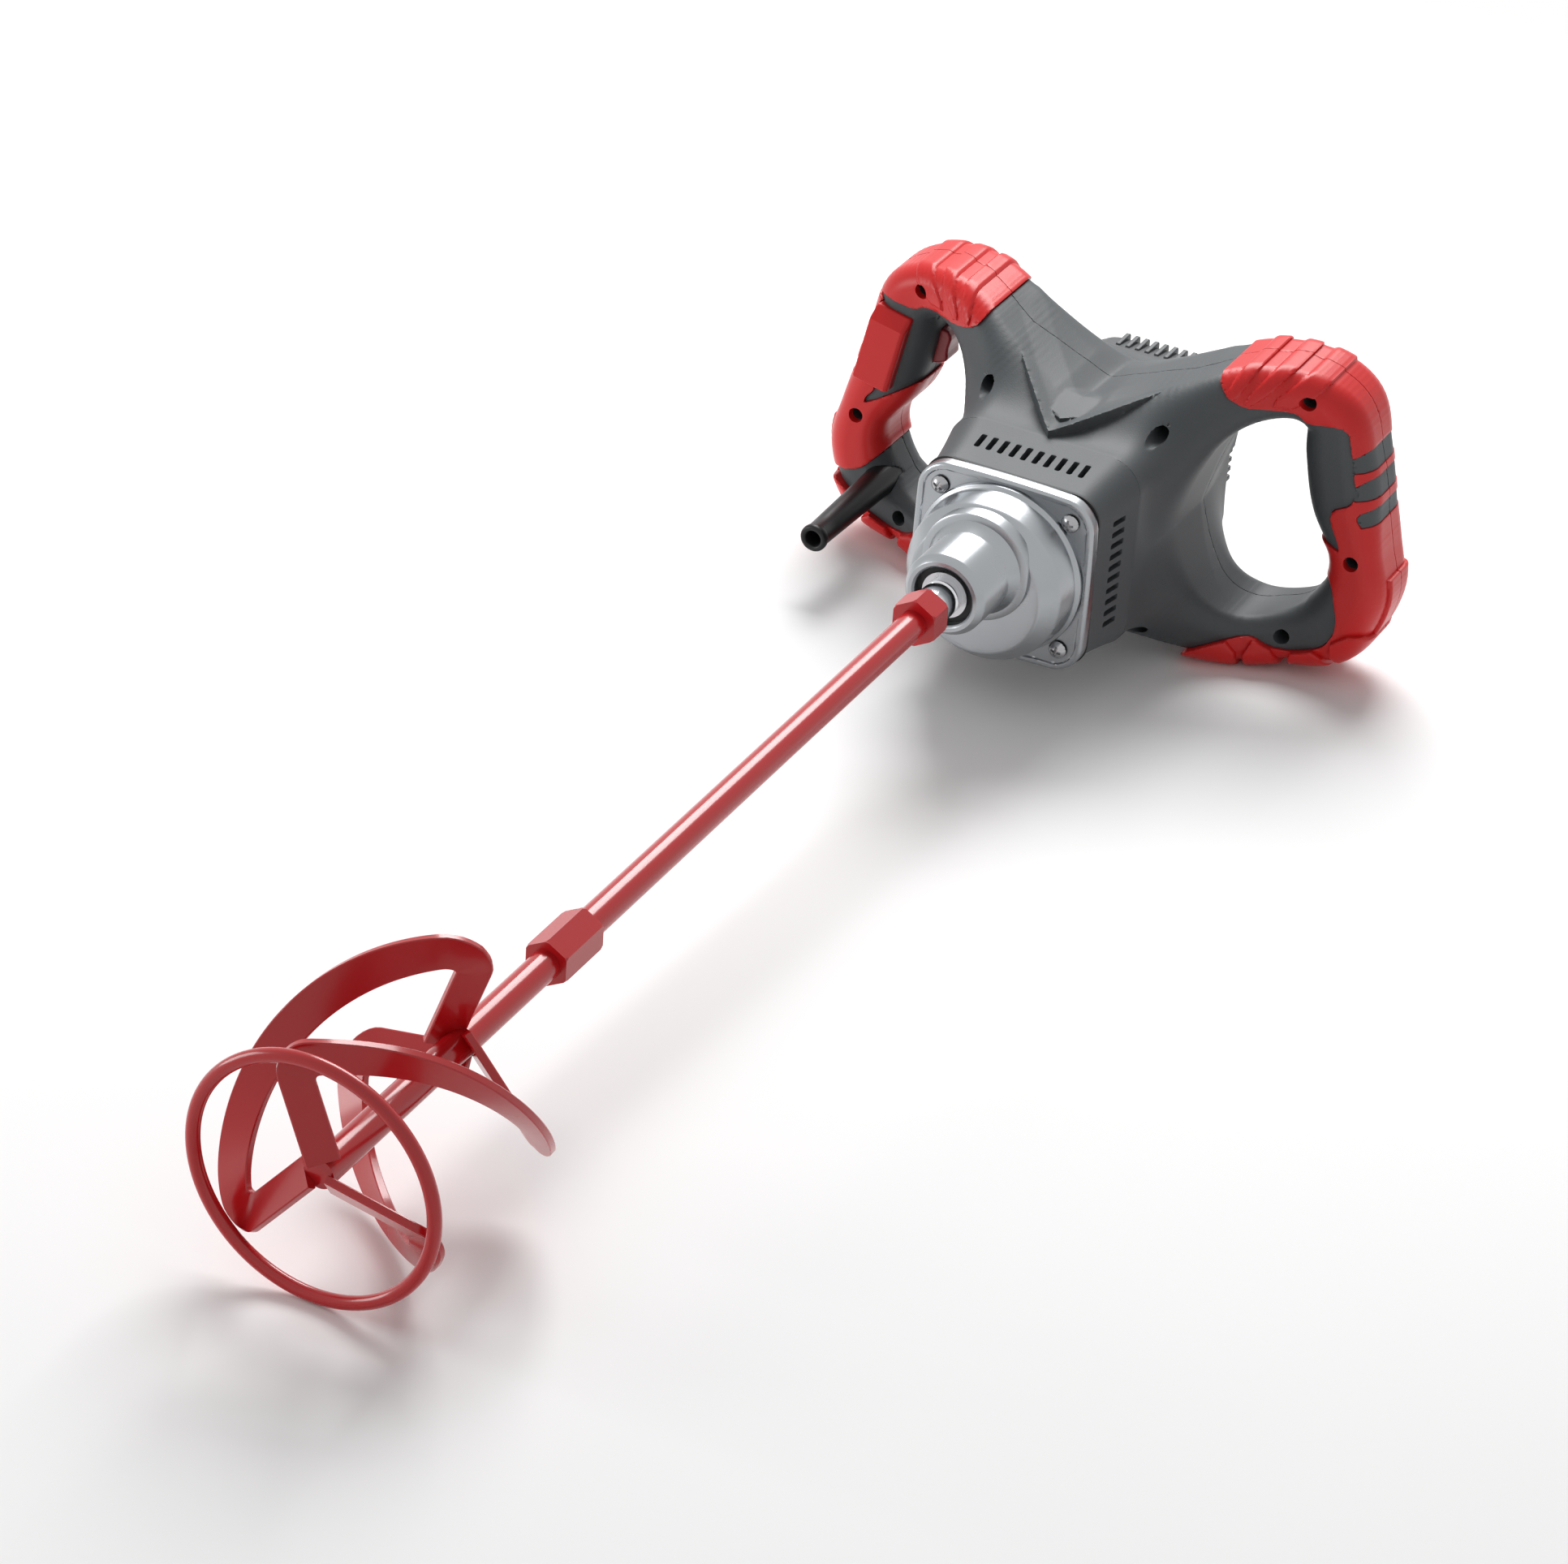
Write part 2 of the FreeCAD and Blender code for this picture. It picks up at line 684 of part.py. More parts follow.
armature_core = new_body("armature_core", z=motor_axis)
boss(armature_core, [(NONE, NONE)], size.core_radius, core_front, size.core_length)
drill(armature_core, [(NONE, NONE)], size.motor_shaft_radius, core_front, size.core_length)
half_slot = size.core_slot_width / 2
slot = extrude(armature_core, [(-half_slot, size.core_radius - size.core_slot_depth),
                               (half_slot, size.core_radius - size.core_slot_depth),
                               (half_slot, size.core_radius + size.core_slot_width),
                               (-half_slot, size.core_radius + size.core_slot_width)],
               core_front, size.core_length, cut=True)
slots = armature_core.newObject("PartDesign::PolarPattern", "armature_core_slots")
slots.Originals = [slot]
slots.Axis = (origin_plane(armature_core, "Y_Axis"), [""])
slots.Angle = 360
slots.setExpression("Occurrences", size.core_slot_count.formula)
armature_core.Tip = slots

armature_windings = new_body("armature_windings", z=motor_axis)
for winding_front in (core_front - size.winding_length, core_end):
    winding = tube_corners(size.winding_radius, size.motor_shaft_radius, winding_front, size.winding_length)
    turn(armature_windings, winding)
tube("commutator", size.commutator_radius, size.motor_shaft_radius, commutator_front, size.commutator_length,
     z=motor_axis)

fan_front = behind(size.fan_back)
fan_disc_front = fan_front + size.fan_width - size.fan_disc_thickness
fan = new_body("fan", z=motor_axis)
boss(fan, [(NONE, NONE)], size.fan_hub_radius, fan_front, size.fan_width)
boss(fan, [(NONE, NONE)], size.fan_radius, fan_disc_front, size.fan_disc_thickness)
half_blade = size.fan_blade_thickness / 2
fan_blade = extrude(fan, [(-half_blade, size.fan_hub_radius - size.fan_blade_thickness),
                          (half_blade, size.fan_hub_radius - size.fan_blade_thickness),
                          (half_blade, size.fan_radius - size.fan_blade_thickness),
                          (-half_blade, size.fan_radius - size.fan_blade_thickness)],
                    fan_front, size.fan_width)
fan_blades = fan.newObject("PartDesign::PolarPattern", "fan_blades")
fan_blades.Originals = [fan_blade]
fan_blades.Axis = (origin_plane(fan, "Y_Axis"), [""])
fan_blades.Angle = 360
fan_blades.setExpression("Occurrences", size.fan_blade_count.formula)
fan.Tip = fan_blades
drill(fan, [(NONE, NONE)], size.motor_shaft_radius, fan_front, size.fan_width)

tube("motor_front_bearing", size.motor_bearing_radius, size.motor_shaft_radius + size.running_fit,
     plate_hub_back - size.motor_bearing_width, size.motor_bearing_width, z=motor_axis)
tube("motor_rear_bearing", size.rear_bearing_radius, size.motor_tail_radius + size.running_fit,
     rear_bearing_front, size.rear_bearing_width, z=motor_axis)
tube("field_core", size.field_radius, size.core_radius + size.air_gap, core_front, size.core_length, z=motor_axis)
field_windings = new_body("field_windings", z=motor_axis)
coil_inner = size.core_radius + size.air_gap + size.field_coil_setback
coil_outer = size.field_radius - size.field_coil_setback
for coil_front in (core_front - size.field_coil_length, core_end):
    turn(field_windings, tube_corners(coil_outer, coil_inner, coil_front, size.field_coil_length))

# Brush gear: two boxes against the bulkhead, each with a carbon brush that slides towards the commutator

brush_inner = size.commutator_radius + size.brush_gap
holder_inner = size.commutator_radius + size.brush_setback
holder_outer = holder_inner + size.brush_holder_length
holder_half_width = size.brush_width / 2 + size.brush_holder_wall
holder = block((holder_inner, holder_outer), (brush_middle - holder_half, brush_middle + holder_half),
               (motor_axis - holder_half_width, motor_axis + holder_half_width))
brush = block((brush_inner, brush_inner + size.brush_length),
              (brush_middle - size.brush_height / 2, brush_middle + size.brush_height / 2),
              (motor_axis - size.brush_width / 2, motor_axis + size.brush_width / 2))
brush_way = block((holder_inner, holder_outer - size.brush_holder_wall),
                  (brush_middle - size.brush_height / 2, brush_middle + size.brush_height / 2),
                  (motor_axis - size.brush_width / 2, motor_axis + size.brush_width / 2))
holder = holder.cut(brush_way)
solid("brush_holders", Part.makeCompound([holder, mirrored(holder)]))
solid("carbon_brushes", Part.makeCompound([brush, mirrored(brush)]))

# Vented collar: a rounded square ring round the fan, with a row of slots on each side

collar_outer = Part.makeLoft([
    square_wire(plate_front, size.collar_housing_half_width, size.collar_housing_half_width, size.flange_corner),
    square_wire(collar_back, size.body_half_width, size.body_half_width, size.body_corner)], True, True)
collar_bore = rod(size.field_radius, plate_front, size.collar_housing_length, NONE, motor_axis)
vent_collar = collar_outer.cut(collar_bore)
slot_front = behind(size.vent_slot_back)
vent_slots = []
for number in range(int(float(size.vent_slot_count))):
    place = size.vent_slot_pitch * (number - (float(size.vent_slot_count) - 1) / 2)
    vent_slots.append(block((place - size.vent_slot_width / 2, place + size.vent_slot_width / 2),
                            (slot_front, slot_front + size.vent_slot_length),
                            (motor_axis + size.fan_hub_radius * 2, motor_axis + size.body_half_width * 2)))
vent_row = Part.makeCompound(vent_slots)
for quarter in range(4):
    row = vent_row.copy()
    row.rotate(vector(0, 0, motor_axis), Y_AXIS, 90 * quarter)
    vent_collar = vent_collar.cut(row)
screw_depth = size.flange_screw_length - size.flange_thickness - size.gasket_thickness
for x, z in screw_places:
    vent_collar = vent_collar.cut(rod(size.flange_screw_radius, plate_front, screw_depth, x, z))
solid("vent_collar", vent_collar)

flange_screws = []
for x, z in screw_places:
    shank = rod(size.flange_screw_radius, flange_front, size.flange_screw_length, x, z)
    head = rod(size.flange_head_radius, flange_front - size.flange_head_height, size.flange_head_height, x, z)
    flange_screws.append(shank.fuse(head).removeSplitter())
solid("flange_screws", Part.makeCompound(flange_screws))


# Handles: each loop is one skin through rounded sections along its middle line, from the upper arm over the grip
# to the lower arm. Shares: across of the reach, up of the rise, back of the handle plane, wide and deep of the grip.

handle_station_shares = (
    (0.227, 0.442, 0.760, 1.21, 1.64),
    (0.373, 0.674, 0.830, 1.00, 1.50),
    (0.520, 0.808, 0.915, 0.87, 1.27),
    (0.673, 0.820, 0.982, 0.815, 1.09),
    (0.780, 0.709, 1.000, 0.895, 1.02),
    (0.810, 0.477, 1.000, 0.95, 1.00),
    (0.853, 0.186, 0.993, 0.95, 0.98),
    (0.907, -0.093, 0.982, 0.763, 0.955),
    (0.930, -0.349, 0.975, 0.842, 0.955),
    (0.853, -0.605, 0.968, 0.895, 0.955),
    (0.713, -0.733, 0.958, 0.842, 1.02),
    (0.553, -0.773, 0.908, 0.842, 1.23),
    (0.387, -0.674, 0.830, 1.00, 1.45),
    (0.227, -0.442, 0.760, 1.21, 1.64),
)
handle_round_share = 0.78
handle_step_count = 2


def curve_through(rows, step_count):
    """Rows of values on a smooth curve through the given rows."""
    result = []
    last = len(rows) - 1
    for number in range(last):
        near = [rows[max(number - 1, 0)], rows[number], rows[number + 1], rows[min(number + 2, last)]]
        for step in range(step_count):
            part = step / step_count
            result.append([
                (2 * here + (after - before) * part + (2 * before - 5 * here + 4 * after - beyond) * part ** 2
                 + (3 * here - before - 3 * after + beyond) * part ** 3) / 2
                for before, here, after, beyond in zip(*near)])
    result.append(list(rows[last]))
    return result


def handle_wires(grow):
    """Sections of the right-hand loop, grown all round."""
    stations = curve_through(handle_station_shares, handle_step_count)
    middles = [vector(size.grip_reach * across, behind(size.handle_back * back),
                      motor_axis + size.loop_rise * up)
               for across, up, back, wide, deep in stations]
    wires = []
    for number, (middle, shares) in enumerate(zip(middles, stations)):
        run = middles[min(number + 1, len(middles) - 1)] - middles[max(number - 1, 0)]
        sideways = FreeCAD.Vector(run.z, 0, -run.x).normalize()
        half_width = size.grip_half_width * shares[3] + grow
        half_depth = size.grip_half_depth * shares[4] + grow
        corner = half_width * handle_round_share
        wires.append(rounded_wire(middle, sideways, Y_AXIS, half_width, half_depth, corner))
    return wires


waist = behind(size.waist_back)
rear = behind(size.rear_back)


def motor_housing(grow):
    """Housing between the vented collar and the rear cover, grown all round."""
    return Part.makeLoft([
        square_wire(collar_back, size.body_half_width + grow, size.body_half_width + grow, size.body_corner),
        square_wire(waist, size.body_waist_half_width + grow, size.body_waist_half_height + grow, size.body_corner),
        square_wire(rear, size.body_rear_half_width + grow, size.body_rear_half_height + grow, size.body_corner)],
        True, False)


def handle_loop(grow):
    """The right-hand loop, grown all round."""
    return Part.makeLoft(handle_wires(grow), True, True)


right_loop = handle_loop(NONE)
left_loop = mirrored(right_loop)
head = motor_housing(NONE).fuse([right_loop, left_loop])

# Crest: a low step on top, pointed towards the vents, that spreads over the motor housing and both upper arms
crest_plan = [(NONE, collar_back), (size.crest_half_width, collar_back + size.crest_length),
              (size.crest_half_width, rear), (-size.crest_half_width, rear),
              (-size.crest_half_width, collar_back + size.crest_length)]
crest_corners = [vector(x, y, motor_axis) for x, y in crest_plan]
crest_space = Part.Face(Part.makePolygon(crest_corners + crest_corners[:1])).extrude(Z_AXIS * float(size.loop_rise))
raised_loop = handle_loop(size.crest_height)
raised_head = motor_housing(size.crest_height).fuse([raised_loop, mirrored(raised_loop)])
head = head.fuse(raised_head.common(crest_space))
head = head.cut(rod(size.field_radius, collar_back, rear - collar_back, NONE, motor_axis))
# The arms reach round the vented collar, which they leave free
head = head.cut(rod(size.body_half_width * 2, nose_front, collar_back - nose_front, NONE, motor_axis))

# Parting line: level with the motor housing's waist in the middle, and with the handle plane in the grips

seam_body = behind(size.seam_body_back)
seam_handle = behind(size.handle_back)
far_side = size.grip_reach + size.overrun
seam_line = [(-far_side, seam_handle), (-size.seam_handle_half_width, seam_handle),
             (-size.seam_body_half_width, seam_body), (size.seam_body_half_width, seam_body),
             (size.seam_handle_half_width, seam_handle), (far_side, seam_handle)]
seam_bottom = motor_axis - size.loop_rise - size.overrun
seam_height = (size.loop_rise + size.overrun) * 2
front_corners = [vector(x, y, seam_bottom) for x, y in [(-far_side, nose_front)] + seam_line + [(far_side, nose_front)]]
front_space = Part.Face(Part.makePolygon(front_corners + front_corners[:1])).extrude(Z_AXIS * float(seam_height))


def seam_at(x):
    """Depth of the parting line at a distance from the middle."""
    low, high = float(size.seam_body_half_width), float(size.seam_handle_half_width)
    share = min(1, max(0, (abs(float(x)) - low) / (high - low)))
    return seam_body + (seam_handle - seam_body) * share


# Guards: red layers moulded onto the handles. Outline shares: across of the reach, up of the rise.

right_guard_shares = (
    (0.39, 0.81), (0.43, 1.27), (1.2, 1.27), (1.2, -1.29), (0.37, -1.29), (0.38, -0.99), (0.56, -0.825),
    (0.74, -0.79), (0.873, -0.72), (0.913, -0.547), (0.873, -0.28), (0.767, -0.256), (0.767, -0.035),
    (0.847, -0.04), (0.893, -0.058), (0.84, 0.175), (0.917, 0.267), (0.883, 0.523), (0.853, 0.733),
    (0.707, 0.692), (0.593, 0.715), (0.52, 0.71), (0.42, 0.76),
)
left_top_guard_shares = (
    (0.4, 0.826), (0.373, 0.977), (0.4, 1.27), (1.2, 1.27), (1.2, 0.71), (0.84, 0.72), (0.707, 0.744),
    (0.587, 0.767), (0.507, 0.75), (0.44, 0.78),
)
left_side_guard_shares = (
    (0.633, 0.21), (0.707, 0.203), (0.873, 0.012), (0.933, 0.28), (1.2, 0.628), (1.2, -0.535), (0.913, -0.477),
    (0.84, -0.35), (0.713, -0.081), (0.633, -0.07),
)
left_foot_guard_shares = (
    (0.37, -1.29), (0.38, -0.99), (0.56, -0.825), (0.74, -0.79), (0.873, -0.72), (0.967, -0.57), (1.2, -0.57),
    (1.2, -1.29),
)
# Ridges across the top of each handle, bumpers along its foot, and one more bumper low on its outer side
ridge_shares = (
    ((0.417, 0.791), (0.46, 0.767), (0.547, 1.07), (0.483, 1.07)),
    ((0.483, 0.773), (0.523, 0.75), (0.66, 1.07), (0.593, 1.07)),
    ((0.553, 0.756), (0.67, 0.776), (0.81, 1.07), (0.72, 1.07)),
)
bumper_shares = (
    ((0.37, -0.84), (0.553, -0.884), (0.553, -1.23), (0.34, -1.23)),
    ((0.587, -0.884), (0.707, -0.849), (0.74, -1.174), (0.587, -1.21)),
    ((0.747, -0.826), (0.853, -0.733), (0.933, -1.0), (0.773, -1.14)),
    ((0.887, -0.709), (0.973, -0.57), (1.1, -0.65), (0.947, -0.977)),
)
outer_bumper_shares = ((1.0, -0.093), (1.013, -0.302), (0.993, -0.453), (1.167, -0.535), (1.2, -0.012))


def guard_region(shares, side):
    points = [(size.grip_reach * across * side, motor_axis + size.loop_rise * up) for across, up in shares]
    return prism(points, collar_back, rear - collar_back)


def raised_blocks(height, tables):
    """Blocks on the right-hand guard, each within its own outline."""
    outside = handle_loop(size.guard_skin + height)
    return [outside.common(guard_region(shares, 1)) for shares in tables]


plain_skin = handle_loop(size.guard_skin)
ridges = raised_blocks(size.guard_ridge_height, ridge_shares)
bumpers = raised_blocks(size.bumper_height, bumper_shares)
outer_bumper = raised_blocks(size.outer_bumper_height, [outer_bumper_shares])
guards = {
    "right_guard": (1, right_guard_shares, ridges + bumpers + outer_bumper),
    "left_top_guard": (-1, left_top_guard_shares, ridges),
    "left_side_guard": (-1, left_side_guard_shares, outer_bumper),
    "left_foot_guard": (-1, left_foot_guard_shares, bumpers),
}

# Switch, trigger way and cord entry are let into the left handle

switch_x = -size.switch_reach
switch_z = motor_axis + size.switch_rise
switch_box = block((switch_x - size.switch_width / 2, switch_x + size.switch_width / 2),
                   (seam_handle - size.switch_depth / 2, seam_handle + size.switch_depth / 2),
                   (switch_z - size.switch_height / 2, switch_z + size.switch_height / 2))
switch_face = switch_x + size.switch_width / 2
trigger_back = switch_face + size.trigger_travel + size.clear_gap
way_half_depth = size.trigger_depth / 2 + size.trigger_gap
way_half_height = size.trigger_height / 2 + size.trigger_gap
trigger_way = block((switch_face, switch_face + size.grip_half_width * 2),
                    (seam_handle - way_half_depth, seam_handle + way_half_depth),
                    (switch_z - way_half_height, switch_z + way_half_height))

boot_x = -size.boot_reach
boot_z = motor_axis - size.boot_drop
boot_face = seam_handle - size.grip_half_depth
foot_front = boot_face + size.boot_seat_depth
foot_back = foot_front + size.boot_foot_length
boot_way = rod(size.boot_base_radius, boot_face - size.overrun, foot_front - boot_face + size.overrun, boot_x, boot_z)
boot_way = boot_way.fuse(rod(size.boot_foot_radius, foot_front, size.boot_foot_length, boot_x, boot_z))
clamp_half = size.boot_foot_radius
clamp_box = block((boot_x - clamp_half, boot_x + clamp_half), (foot_back, foot_back + size.clamp_thickness),
                  (boot_z - clamp_half, boot_z + clamp_half))
for space in (switch_box, trigger_way, boot_way, clamp_box):
    head = head.cut(space)

# Screws of the two shells, each in a counterbored boss. Places: across of the reach, up of the rise.

boss_place_shares = ((0.715, 0.84), (0.314, 0.642), (0.93, -0.105), (0.727, -0.692), (0.314, -0.642))
shell_screws = []
front_holes = []
for across, up in boss_place_shares:
    for side in (-1, 1):
        x = size.grip_reach * across * side
        z = motor_axis + size.loop_rise * up
        seat = seam_at(x) - size.shell_screw_web
        front_holes.append(rod(size.boss_hole_radius, seat - size.overrun * 2, size.overrun * 2, x, z))
        shank = rod(size.shell_screw_radius, seat, size.shell_screw_web + size.shell_screw_bite, x, z)
        screw_head = rod(size.shell_screw_head_radius, seat - size.shell_screw_head_height,
                         size.shell_screw_head_height, x, z)
        front_holes.append(shank)
        shell_screws.append(shank.fuse(screw_head).removeSplitter())
head = head.cut(Part.makeCompound(front_holes))
solid("shell_screws", Part.makeCompound(shell_screws))

# Switch cover: a rounded box that stands out of the left handle's front and leans with the grip

cover_front = seam_handle - size.grip_half_depth - size.switch_cover_stand
cover_middle = vector(switch_x, cover_front, switch_z)
cover_lean = math.radians(float(size.switch_cover_tilt_deg))
lean_across = FreeCAD.Vector(math.cos(cover_lean), 0, -math.sin(cover_lean))
lean_up = FreeCAD.Vector(math.sin(cover_lean), 0, math.cos(cover_lean))


def cover_box(grow):
    """Outside of the switch cover, grown all round its outline."""
    wire = rounded_wire(cover_middle, lean_across, lean_up, size.switch_cover_width / 2 + grow,
                        size.switch_cover_height / 2 + grow, size.switch_cover_edge)
    return Part.Face(wire).extrude(Y_AXIS * float(size.switch_cover_depth))


cover_space = cover_box(size.trigger_gap)
solid("switch_cover", cover_box(NONE).cut(left_loop))

# Bulkhead inside the rear shell, with the seat of the rear bearing and ports for the cooling air

bulkhead = rod(size.field_radius, bulkhead_front, size.bulkhead_thickness, NONE, motor_axis)
bulkhead = bulkhead.cut(rod(size.bulkhead_mouth_radius, bulkhead_front, size.bulkhead_mouth, NONE, motor_axis))
bulkhead = bulkhead.cut(rod(size.rear_bearing_radius, rear_bearing_front, size.rear_bearing_width, NONE, motor_axis))
for quarter in range(4):
    turn_angle = math.radians(45 + 90 * quarter)
    bulkhead = bulkhead.cut(rod(size.bulkhead_port_radius, bulkhead_front, size.bulkhead_thickness,
                                size.bulkhead_port_place * math.cos(turn_angle),
                                motor_axis + size.bulkhead_port_place * math.sin(turn_angle)))

cover_screw_places = [(size.cover_screw_place * x, motor_axis + size.cover_screw_place * z)
                      for x in (-1, 1) for z in (-1, 1)]
cover_back = rear + size.rear_cover_length
cover_screw_front = cover_back - size.cover_screw_length
cover_screw_holes = [rod(size.cover_screw_radius, cover_screw_front, size.cover_screw_length, x, z)
                     for x, z in cover_screw_places]

solid("front_shell", head.common(front_space))
rear_shell = head.cut(front_space).fuse(bulkhead).cut(Part.makeCompound(cover_screw_holes))
solid("rear_shell", rear_shell.removeSplitter())
for name, (side, shares, blocks) in guards.items():
    guard = plain_skin.common(guard_region(shares, 1)).fuse(blocks).cut(right_loop)
    if side < 0:
        guard = mirrored(guard)
    solid(name + "_front", guard.common(front_space).cut(Part.makeCompound(front_holes + [boot_way, cover_space])))
    solid(name + "_rear", guard.cut(front_space))

# Rear cover: a cap over the brush gear and the air inlet, with fins on its top and its sides

cover_outer = Part.makeLoft([
    square_wire(rear, size.rear_cover_half_width, size.rear_cover_half_width, size.body_corner),
    square_wire(cover_back, size.rear_cover_end_half_width, size.rear_cover_end_half_width, size.body_corner)],
    True, True)
fin_rows = []
fin_start = cover_back - size.rear_fin_length
for number in range(int(float(size.rear_fin_count))):
    place = size.rear_fin_pitch * (number - (float(size.rear_fin_count) - 1) / 2)
    fin_rows.append(block((place - size.rear_fin_width / 2, place + size.rear_fin_width / 2),
                          (fin_start, cover_back),
                          (motor_axis + size.rear_cover_end_half_width - size.rear_fin_height,
                           motor_axis + size.rear_cover_end_half_width + size.rear_fin_height)))
fin_row = Part.makeCompound(fin_rows)
for quarter in (0, 1, 3):
    row = fin_row.copy()
    row.rotate(vector(0, 0, motor_axis), Y_AXIS, 90 * quarter)
    cover_outer = cover_outer.fuse(row)
cover_inside = rod(size.rear_cover_end_half_width - size.body_wall, rear,
                   size.rear_cover_length - size.body_wall, NONE, motor_axis)
rear_cover = cover_outer.cut(cover_inside)
cover_screws = []
for x, z in cover_screw_places:
    head_front = cover_back - size.cover_screw_head_height
    shank = rod(size.cover_screw_radius, cover_screw_front, size.cover_screw_length, x, z)
    screw_head = rod(size.cover_screw_head_radius, head_front, size.cover_screw_head_height, x, z)
    cover_screws.append(shank.fuse(screw_head).removeSplitter())
solid("rear_cover", rear_cover.cut(Part.makeCompound(cover_screws)).removeSplitter())
solid("rear_cover_screws", Part.makeCompound(cover_screws))

# Switch with the bore of its plunger, and the trigger with its stem

stem = Part.makeCylinder(float(size.stem_radius), float(size.stem_length),
                         vector(trigger_back - size.stem_length, seam_handle, switch_z), X_AXIS)
stem_way = Part.makeCylinder(float(size.stem_radius + size.running_fit),
                             float(size.stem_length + size.clear_gap),
                             vector(trigger_back - size.stem_length - size.trigger_travel - size.clear_gap,
                                    seam_handle, switch_z), X_AXIS)
solid("switch_body", switch_box.cut(stem_way))

trigger_shares = ((0.0, -0.5), (0.55, -0.5), (0.9, -0.36), (0.86, -0.1), (1.0, 0.32), (0.8, 0.5), (0.0, 0.5))
trigger_points = [(trigger_back + size.trigger_length * across, switch_z + size.trigger_height * up)
                  for across, up in trigger_shares]
trigger = prism(trigger_points, seam_handle - size.trigger_depth / 2, size.trigger_depth)
solid("trigger", trigger.fuse(stem).removeSplitter())

# Cord boot: a tapered rubber sleeve with a bead at its mouth and a foot that the shells hold

boot_tip = boot_face - size.boot_length
cord_boot = new_body("cord_boot", boot_x, boot_z)
turn(cord_boot, [(size.boot_bore_radius, boot_tip), (size.boot_bead_radius, boot_tip),
                 (size.boot_bead_radius, boot_tip + size.boot_bead_length),
                 (size.boot_tip_radius, boot_tip + size.boot_bead_length), (size.boot_base_radius, boot_face),
                 (size.boot_base_radius, foot_front), (size.boot_foot_radius, foot_front),
                 (size.boot_foot_radius, foot_back), (size.boot_bore_radius, foot_back)])
clamp = clamp_box.cut(rod(size.boot_bore_radius + size.clear_gap, foot_back, size.clamp_thickness, boot_x, boot_z))
solid("cord_clamp", clamp)

# Paddle: adapter with a hexagon and a threaded stud, two shafts joined by a hex coupling, three blades and a ring

neck_front = face_front - size.adapter_neck_length
hex_front = neck_front - size.adapter_hex_length
upper_end = hex_front - size.upper_shaft_length
coupling_front = upper_end - size.coupling_length
shaft_end = coupling_front - size.lower_shaft_length

adapter = new_body("paddle_adapter")
extrude(adapter, hexagon(size.adapter_across_flats), hex_front, size.adapter_hex_length)
turn(adapter, [(NONE, neck_front), (size.adapter_neck_radius, neck_front), (size.adapter_neck_radius, face_front),
               (size.stud_radius, face_front), (size.stud_radius, face_front + size.stud_length),
               (NONE, face_front + size.stud_length)])
drill(adapter, [(NONE, NONE)], size.shaft_radius, hex_front, size.shaft_socket_depth)

upper_shaft = new_body("upper_shaft")
boss(upper_shaft, [(NONE, NONE)], size.shaft_radius, upper_end - size.shaft_socket_depth,
     size.upper_shaft_length + size.shaft_socket_depth * 2)

coupling = new_body("hex_coupling")
extrude(coupling, hexagon(size.coupling_across_flats), coupling_front, size.coupling_length)
for socket_front in (coupling_front, upper_end - size.shaft_socket_depth):
    drill(coupling, [(NONE, NONE)], size.shaft_radius, socket_front, size.shaft_socket_depth)

lower_shaft = new_body("lower_shaft")
boss(lower_shaft, [(NONE, NONE)], size.shaft_radius, shaft_end,
     size.lower_shaft_length + size.shaft_socket_depth)

ring = document.addObject("Part::Torus", "paddle_ring")
ring.setExpression("Radius1", size.ring_radius.formula)
ring.setExpression("Radius2", size.ring_wire_radius.formula)
ring.Placement.Rotation = FreeCAD.Rotation(X_AXIS, 90)
ring.setExpression("Placement.Base.y", (shaft_end - size.ring_drop).formula)
keep(ring, "paddle_ring")


# Blades: strip steel bent into part of a helix, with a flat arm at each end that runs in to the shaft. The
# projection along the shaft is a ring sector with a straight strip at each end.

def blade_slab(begin, end, top):
    """A slab that follows the arms' slope at both ends and the helix between them, wider than the blade."""
    sweep = end - begin
    middle_radius = size.blade_radius - size.ribbon_width / 2
    slope = float(size.blade_rise) / sweep / float(middle_radius)
    outer = size.blade_radius + size.blade_thickness
    ribbon_inner = size.blade_radius - size.ribbon_width - size.blade_thickness
    half = size.blade_arm_width / 2
    arm_angle = math.asin(float(half / middle_radius))
    lines = [(begin, -half - size.blade_thickness), (begin, half)]
    for step in range(1, helicoid_step_count):
        turned = arm_angle + (sweep - 2 * arm_angle) * step / helicoid_step_count
        lines.append((begin + turned, None))
    lines += [(end, -half), (end, half + size.blade_thickness)]
    wires = []
    for angle, over in lines:
        fall = size.blade_rise * ((angle - begin) / sweep)
        inner = ribbon_inner
        if over is not None:
            fall = fall + over * slope
            inner = NONE
        sideways = over or NONE
        low = top - fall - size.blade_thickness / 2
        high = low + size.blade_thickness
        rim = [(inner, low), (outer, low), (outer, high), (inner, high)]
        corners = [vector(out * math.cos(angle) - sideways * math.sin(angle), height,
                          out * math.sin(angle) + sideways * math.cos(angle)) for out, height in rim]
        wires.append(Part.makePolygon(corners + corners[:1]))
    return Part.makeLoft(wires, True, True)


def around(radius, angle, height):
    return vector(radius * math.cos(angle), height, radius * math.sin(angle))


def ring_sector(inner, outer, first_angle, last_angle, start, length):
    """Part of a flat ring, as a prism along Y."""
    middle_angle = (first_angle + last_angle) / 2
    edges = []
    for radius in (outer, inner):
        edges.append(Part.Arc(around(radius, first_angle, start), around(radius, middle_angle, start),
                              around(radius, last_angle, start)).toShape())
    for angle in (first_angle, last_angle):
        edges.append(Part.makeLine(around(inner, angle, start), around(outer, angle, start)))
    wire = Part.Wire(Part.__sortEdges__(edges))
    return Part.Face(wire).extrude(Y_AXIS * float(length))


